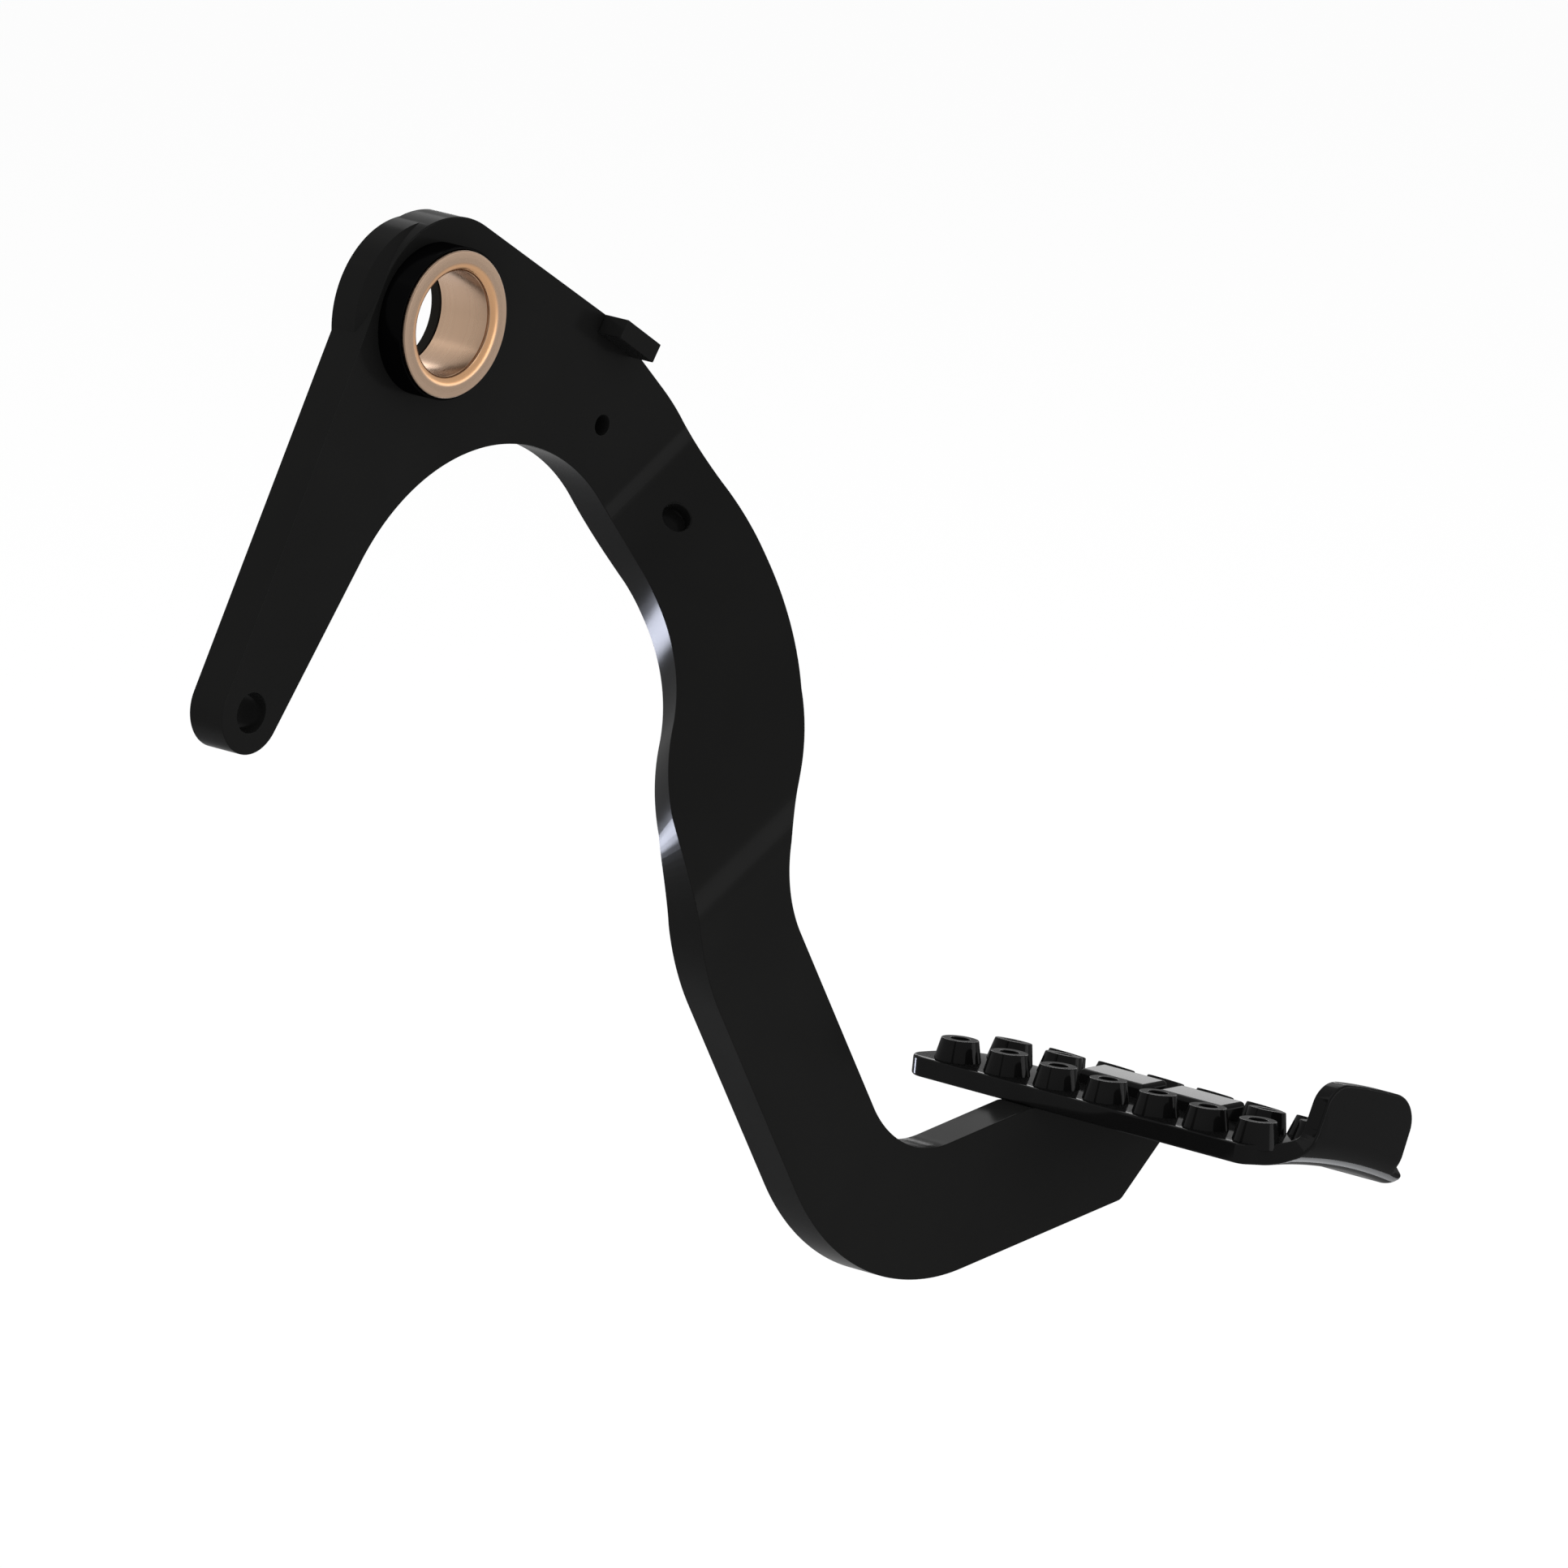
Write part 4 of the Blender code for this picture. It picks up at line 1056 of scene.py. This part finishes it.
def set_world(stage):
    """Even light from all around, seen as white."""
    world = bpy.data.worlds.new("studio")
    world.use_nodes = True
    tree = world.node_tree
    tree.nodes.clear()
    strength = maths(tree, 'MULTIPLY_ADD', seen(tree), 1.0 - stage.ambient, stage.ambient)
    background = add_node(tree, "Background", [("Color", (*WHITE, 1.0)), ("Strength", strength)])
    add_node(tree, "OutputWorld", [(0, background.outputs[0])])
    bpy.context.scene.world = world


def soft_light(name, place, aim, size, energy, tint):
    """Rectangular soft light that looks at a point."""
    data = bpy.data.lights.new(name, 'AREA')
    data.shape = 'RECTANGLE'
    data.size, data.size_y = size
    data.energy = energy
    data.color = tint
    light = new_object(name, data)
    light.location = place
    light.rotation_euler = (Vector(aim) - Vector(place)).to_track_quat('-Z', 'Y').to_euler()
    light.visible_camera = False


def around(centre, azimuth, elevation, distance):
    """Point at a direction and distance from a centre."""
    level = along(azimuth) * cos(radians(elevation))
    return Vector(centre) + distance * Vector((level.x, level.y, sin(radians(elevation))))


def new_camera():
    """Camera at the photograph's viewing angle."""
    data = bpy.data.cameras.new("camera")
    data.sensor_width = 36.0
    data.lens = CAMERA_LENS
    data.clip_start = 0.05
    data.clip_end = 100.0
    camera = new_object("camera", data)
    camera.location = CAMERA_PLACE
    camera.rotation_euler = [radians(turn) for turn in CAMERA_TURN]
    bpy.context.scene.camera = camera


# Operators

class PEDAL_OT_finishes(bpy.types.Operator):
    """Make the paint, steel and bronze finishes"""
    bl_idname = "pedal.finishes"
    bl_label = "Finishes"

    def execute(self, context):
        finish = context.scene.pedal.finish
        groups = {"film": paint_film_group(), "marks": turning_marks_group()}
        paint("gloss_black_lever", groups, finish.lever, LEVER_GLOSS, finish.lever_roughness, finish)
        paint("gloss_black_pad", groups, finish.pad, PAD_GLOSS, finish.pad_roughness, finish,
              tone=0.3, ripple=900.0, dust=0.5)
        dark_steel(groups, finish)
        bronze(groups, finish)
        return {'FINISHED'}


class PEDAL_OT_lever(bpy.types.Operator):
    """Make the joggled lever plate with its disc and holes"""
    bl_idname = "pedal.lever"
    bl_label = "Lever plate"

    def execute(self, context):
        sizes = context.scene.pedal
        piece = finish_piece("lever_plate_fine", lever_mesh(sizes.lever, sizes.pivot, sizes.pad),
                             "gloss_black_lever")
        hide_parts("lever_plate")
        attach(piece, BODY)
        return {'FINISHED'}


class PEDAL_OT_pivot(bpy.types.Operator):
    """Make the boss and its flanged bush"""
    bl_idname = "pedal.pivot"
    bl_label = "Boss and bush"

    def execute(self, context):
        sizes = context.scene.pedal
        boss = finish_piece("pivot_boss_fine", boss_mesh(sizes.pivot, sizes.lever),
                            "oiled_dark_steel", 32)
        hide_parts("pivot_boss")
        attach(boss, BODY)
        bush = finish_piece("flange_bush_fine", bush_mesh(sizes.pivot, sizes.lever),
                            "turned_bronze", 35)
        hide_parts("flange_bush")
        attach(bush, BODY)
        return {'FINISHED'}


class PEDAL_OT_lug(bpy.types.Operator):
    """Make the stop lug on the shoulder"""
    bl_idname = "pedal.lug"
    bl_label = "Stop lug"

    def execute(self, context):
        piece = finish_piece("stop_lug_fine", lug_mesh(context.scene.pedal.lug), "gloss_black_lever",
                             60)
        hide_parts("stop_lug")
        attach(piece, BODY)
        return {'FINISHED'}


class PEDAL_OT_pad(bpy.types.Operator):
    """Make the foot pad with its studs, bars and lip"""
    bl_idname = "pedal.pad"
    bl_label = "Foot pad"

    def execute(self, context):
        piece = finish_piece("foot_pad_fine", pad_mesh(context.scene.pedal.pad),
                             "gloss_black_pad", 30)
        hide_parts("foot_pad")
        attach(piece, BODY)
        return {'FINISHED'}


class PEDAL_OT_stage(bpy.types.Operator):
    """Make the floor, the lights, the world and the camera"""
    bl_idname = "pedal.stage"
    bl_label = "Stage"

    def execute(self, context):
        stage = context.scene.pedal.stage
        work = bmesh.new()
        bmesh.ops.create_grid(work, x_segments=1, y_segments=1, size=FLOOR_REACH)
        mesh = bpy.data.meshes.new("floor")
        work.to_mesh(mesh)
        work.free()
        mesh.materials.append(floor_material(stage))
        floor = new_object("floor", mesh)
        floor.location = (0.0, 0.0, -stage.drop)
        for name, aim, direction, distance, size, setting, tint in LIGHTS:
            soft_light(name, around(aim, *direction, distance), aim, size, getattr(stage, setting), tint)
        set_world(stage)
        new_camera()
        context.scene.view_settings.view_transform = 'Standard'
        return {'FINISHED'}


STEPS = ("finishes", "lever", "pivot", "lug", "pad", "stage")


class PEDAL_PT_panel(bpy.types.Panel):
    """The pedal's pieces, in the order in which they are made"""
    bl_idname = "PEDAL_PT_panel"
    bl_label = "Clutch pedal"
    bl_space_type = 'VIEW_3D'
    bl_region_type = 'UI'
    bl_category = "Pedal"

    def draw(self, context):
        for step in STEPS:
            self.layout.operator("pedal." + step)
        for part in ("lever", "pivot", "lug", "pad", "finish", "stage"):
            box = self.layout.box()
            box.label(text=part.capitalize())
            settings = getattr(context.scene.pedal, part)
            for key in settings.__annotations__:
                box.prop(settings, key)


CLASSES = (LeverSizes, PivotSizes, LugSizes, PadSizes, Finishes, Stage, PedalSettings,
           PEDAL_OT_finishes, PEDAL_OT_lever, PEDAL_OT_pivot, PEDAL_OT_lug, PEDAL_OT_pad, PEDAL_OT_stage,
           PEDAL_PT_panel)


def register():
    """Add the settings, operators and panel."""
    for item in CLASSES:
        bpy.utils.register_class(item)
    bpy.types.Scene.pedal = PointerProperty(type=PedalSettings)


def unregister():
    """Take them away again."""
    del bpy.types.Scene.pedal
    for item in reversed(CLASSES):
        bpy.utils.unregister_class(item)


def main():
    """Make every piece in turn."""
    register()
    for step in STEPS:
        getattr(bpy.ops.pedal, step)()


if __name__ == "__main__":
    main()
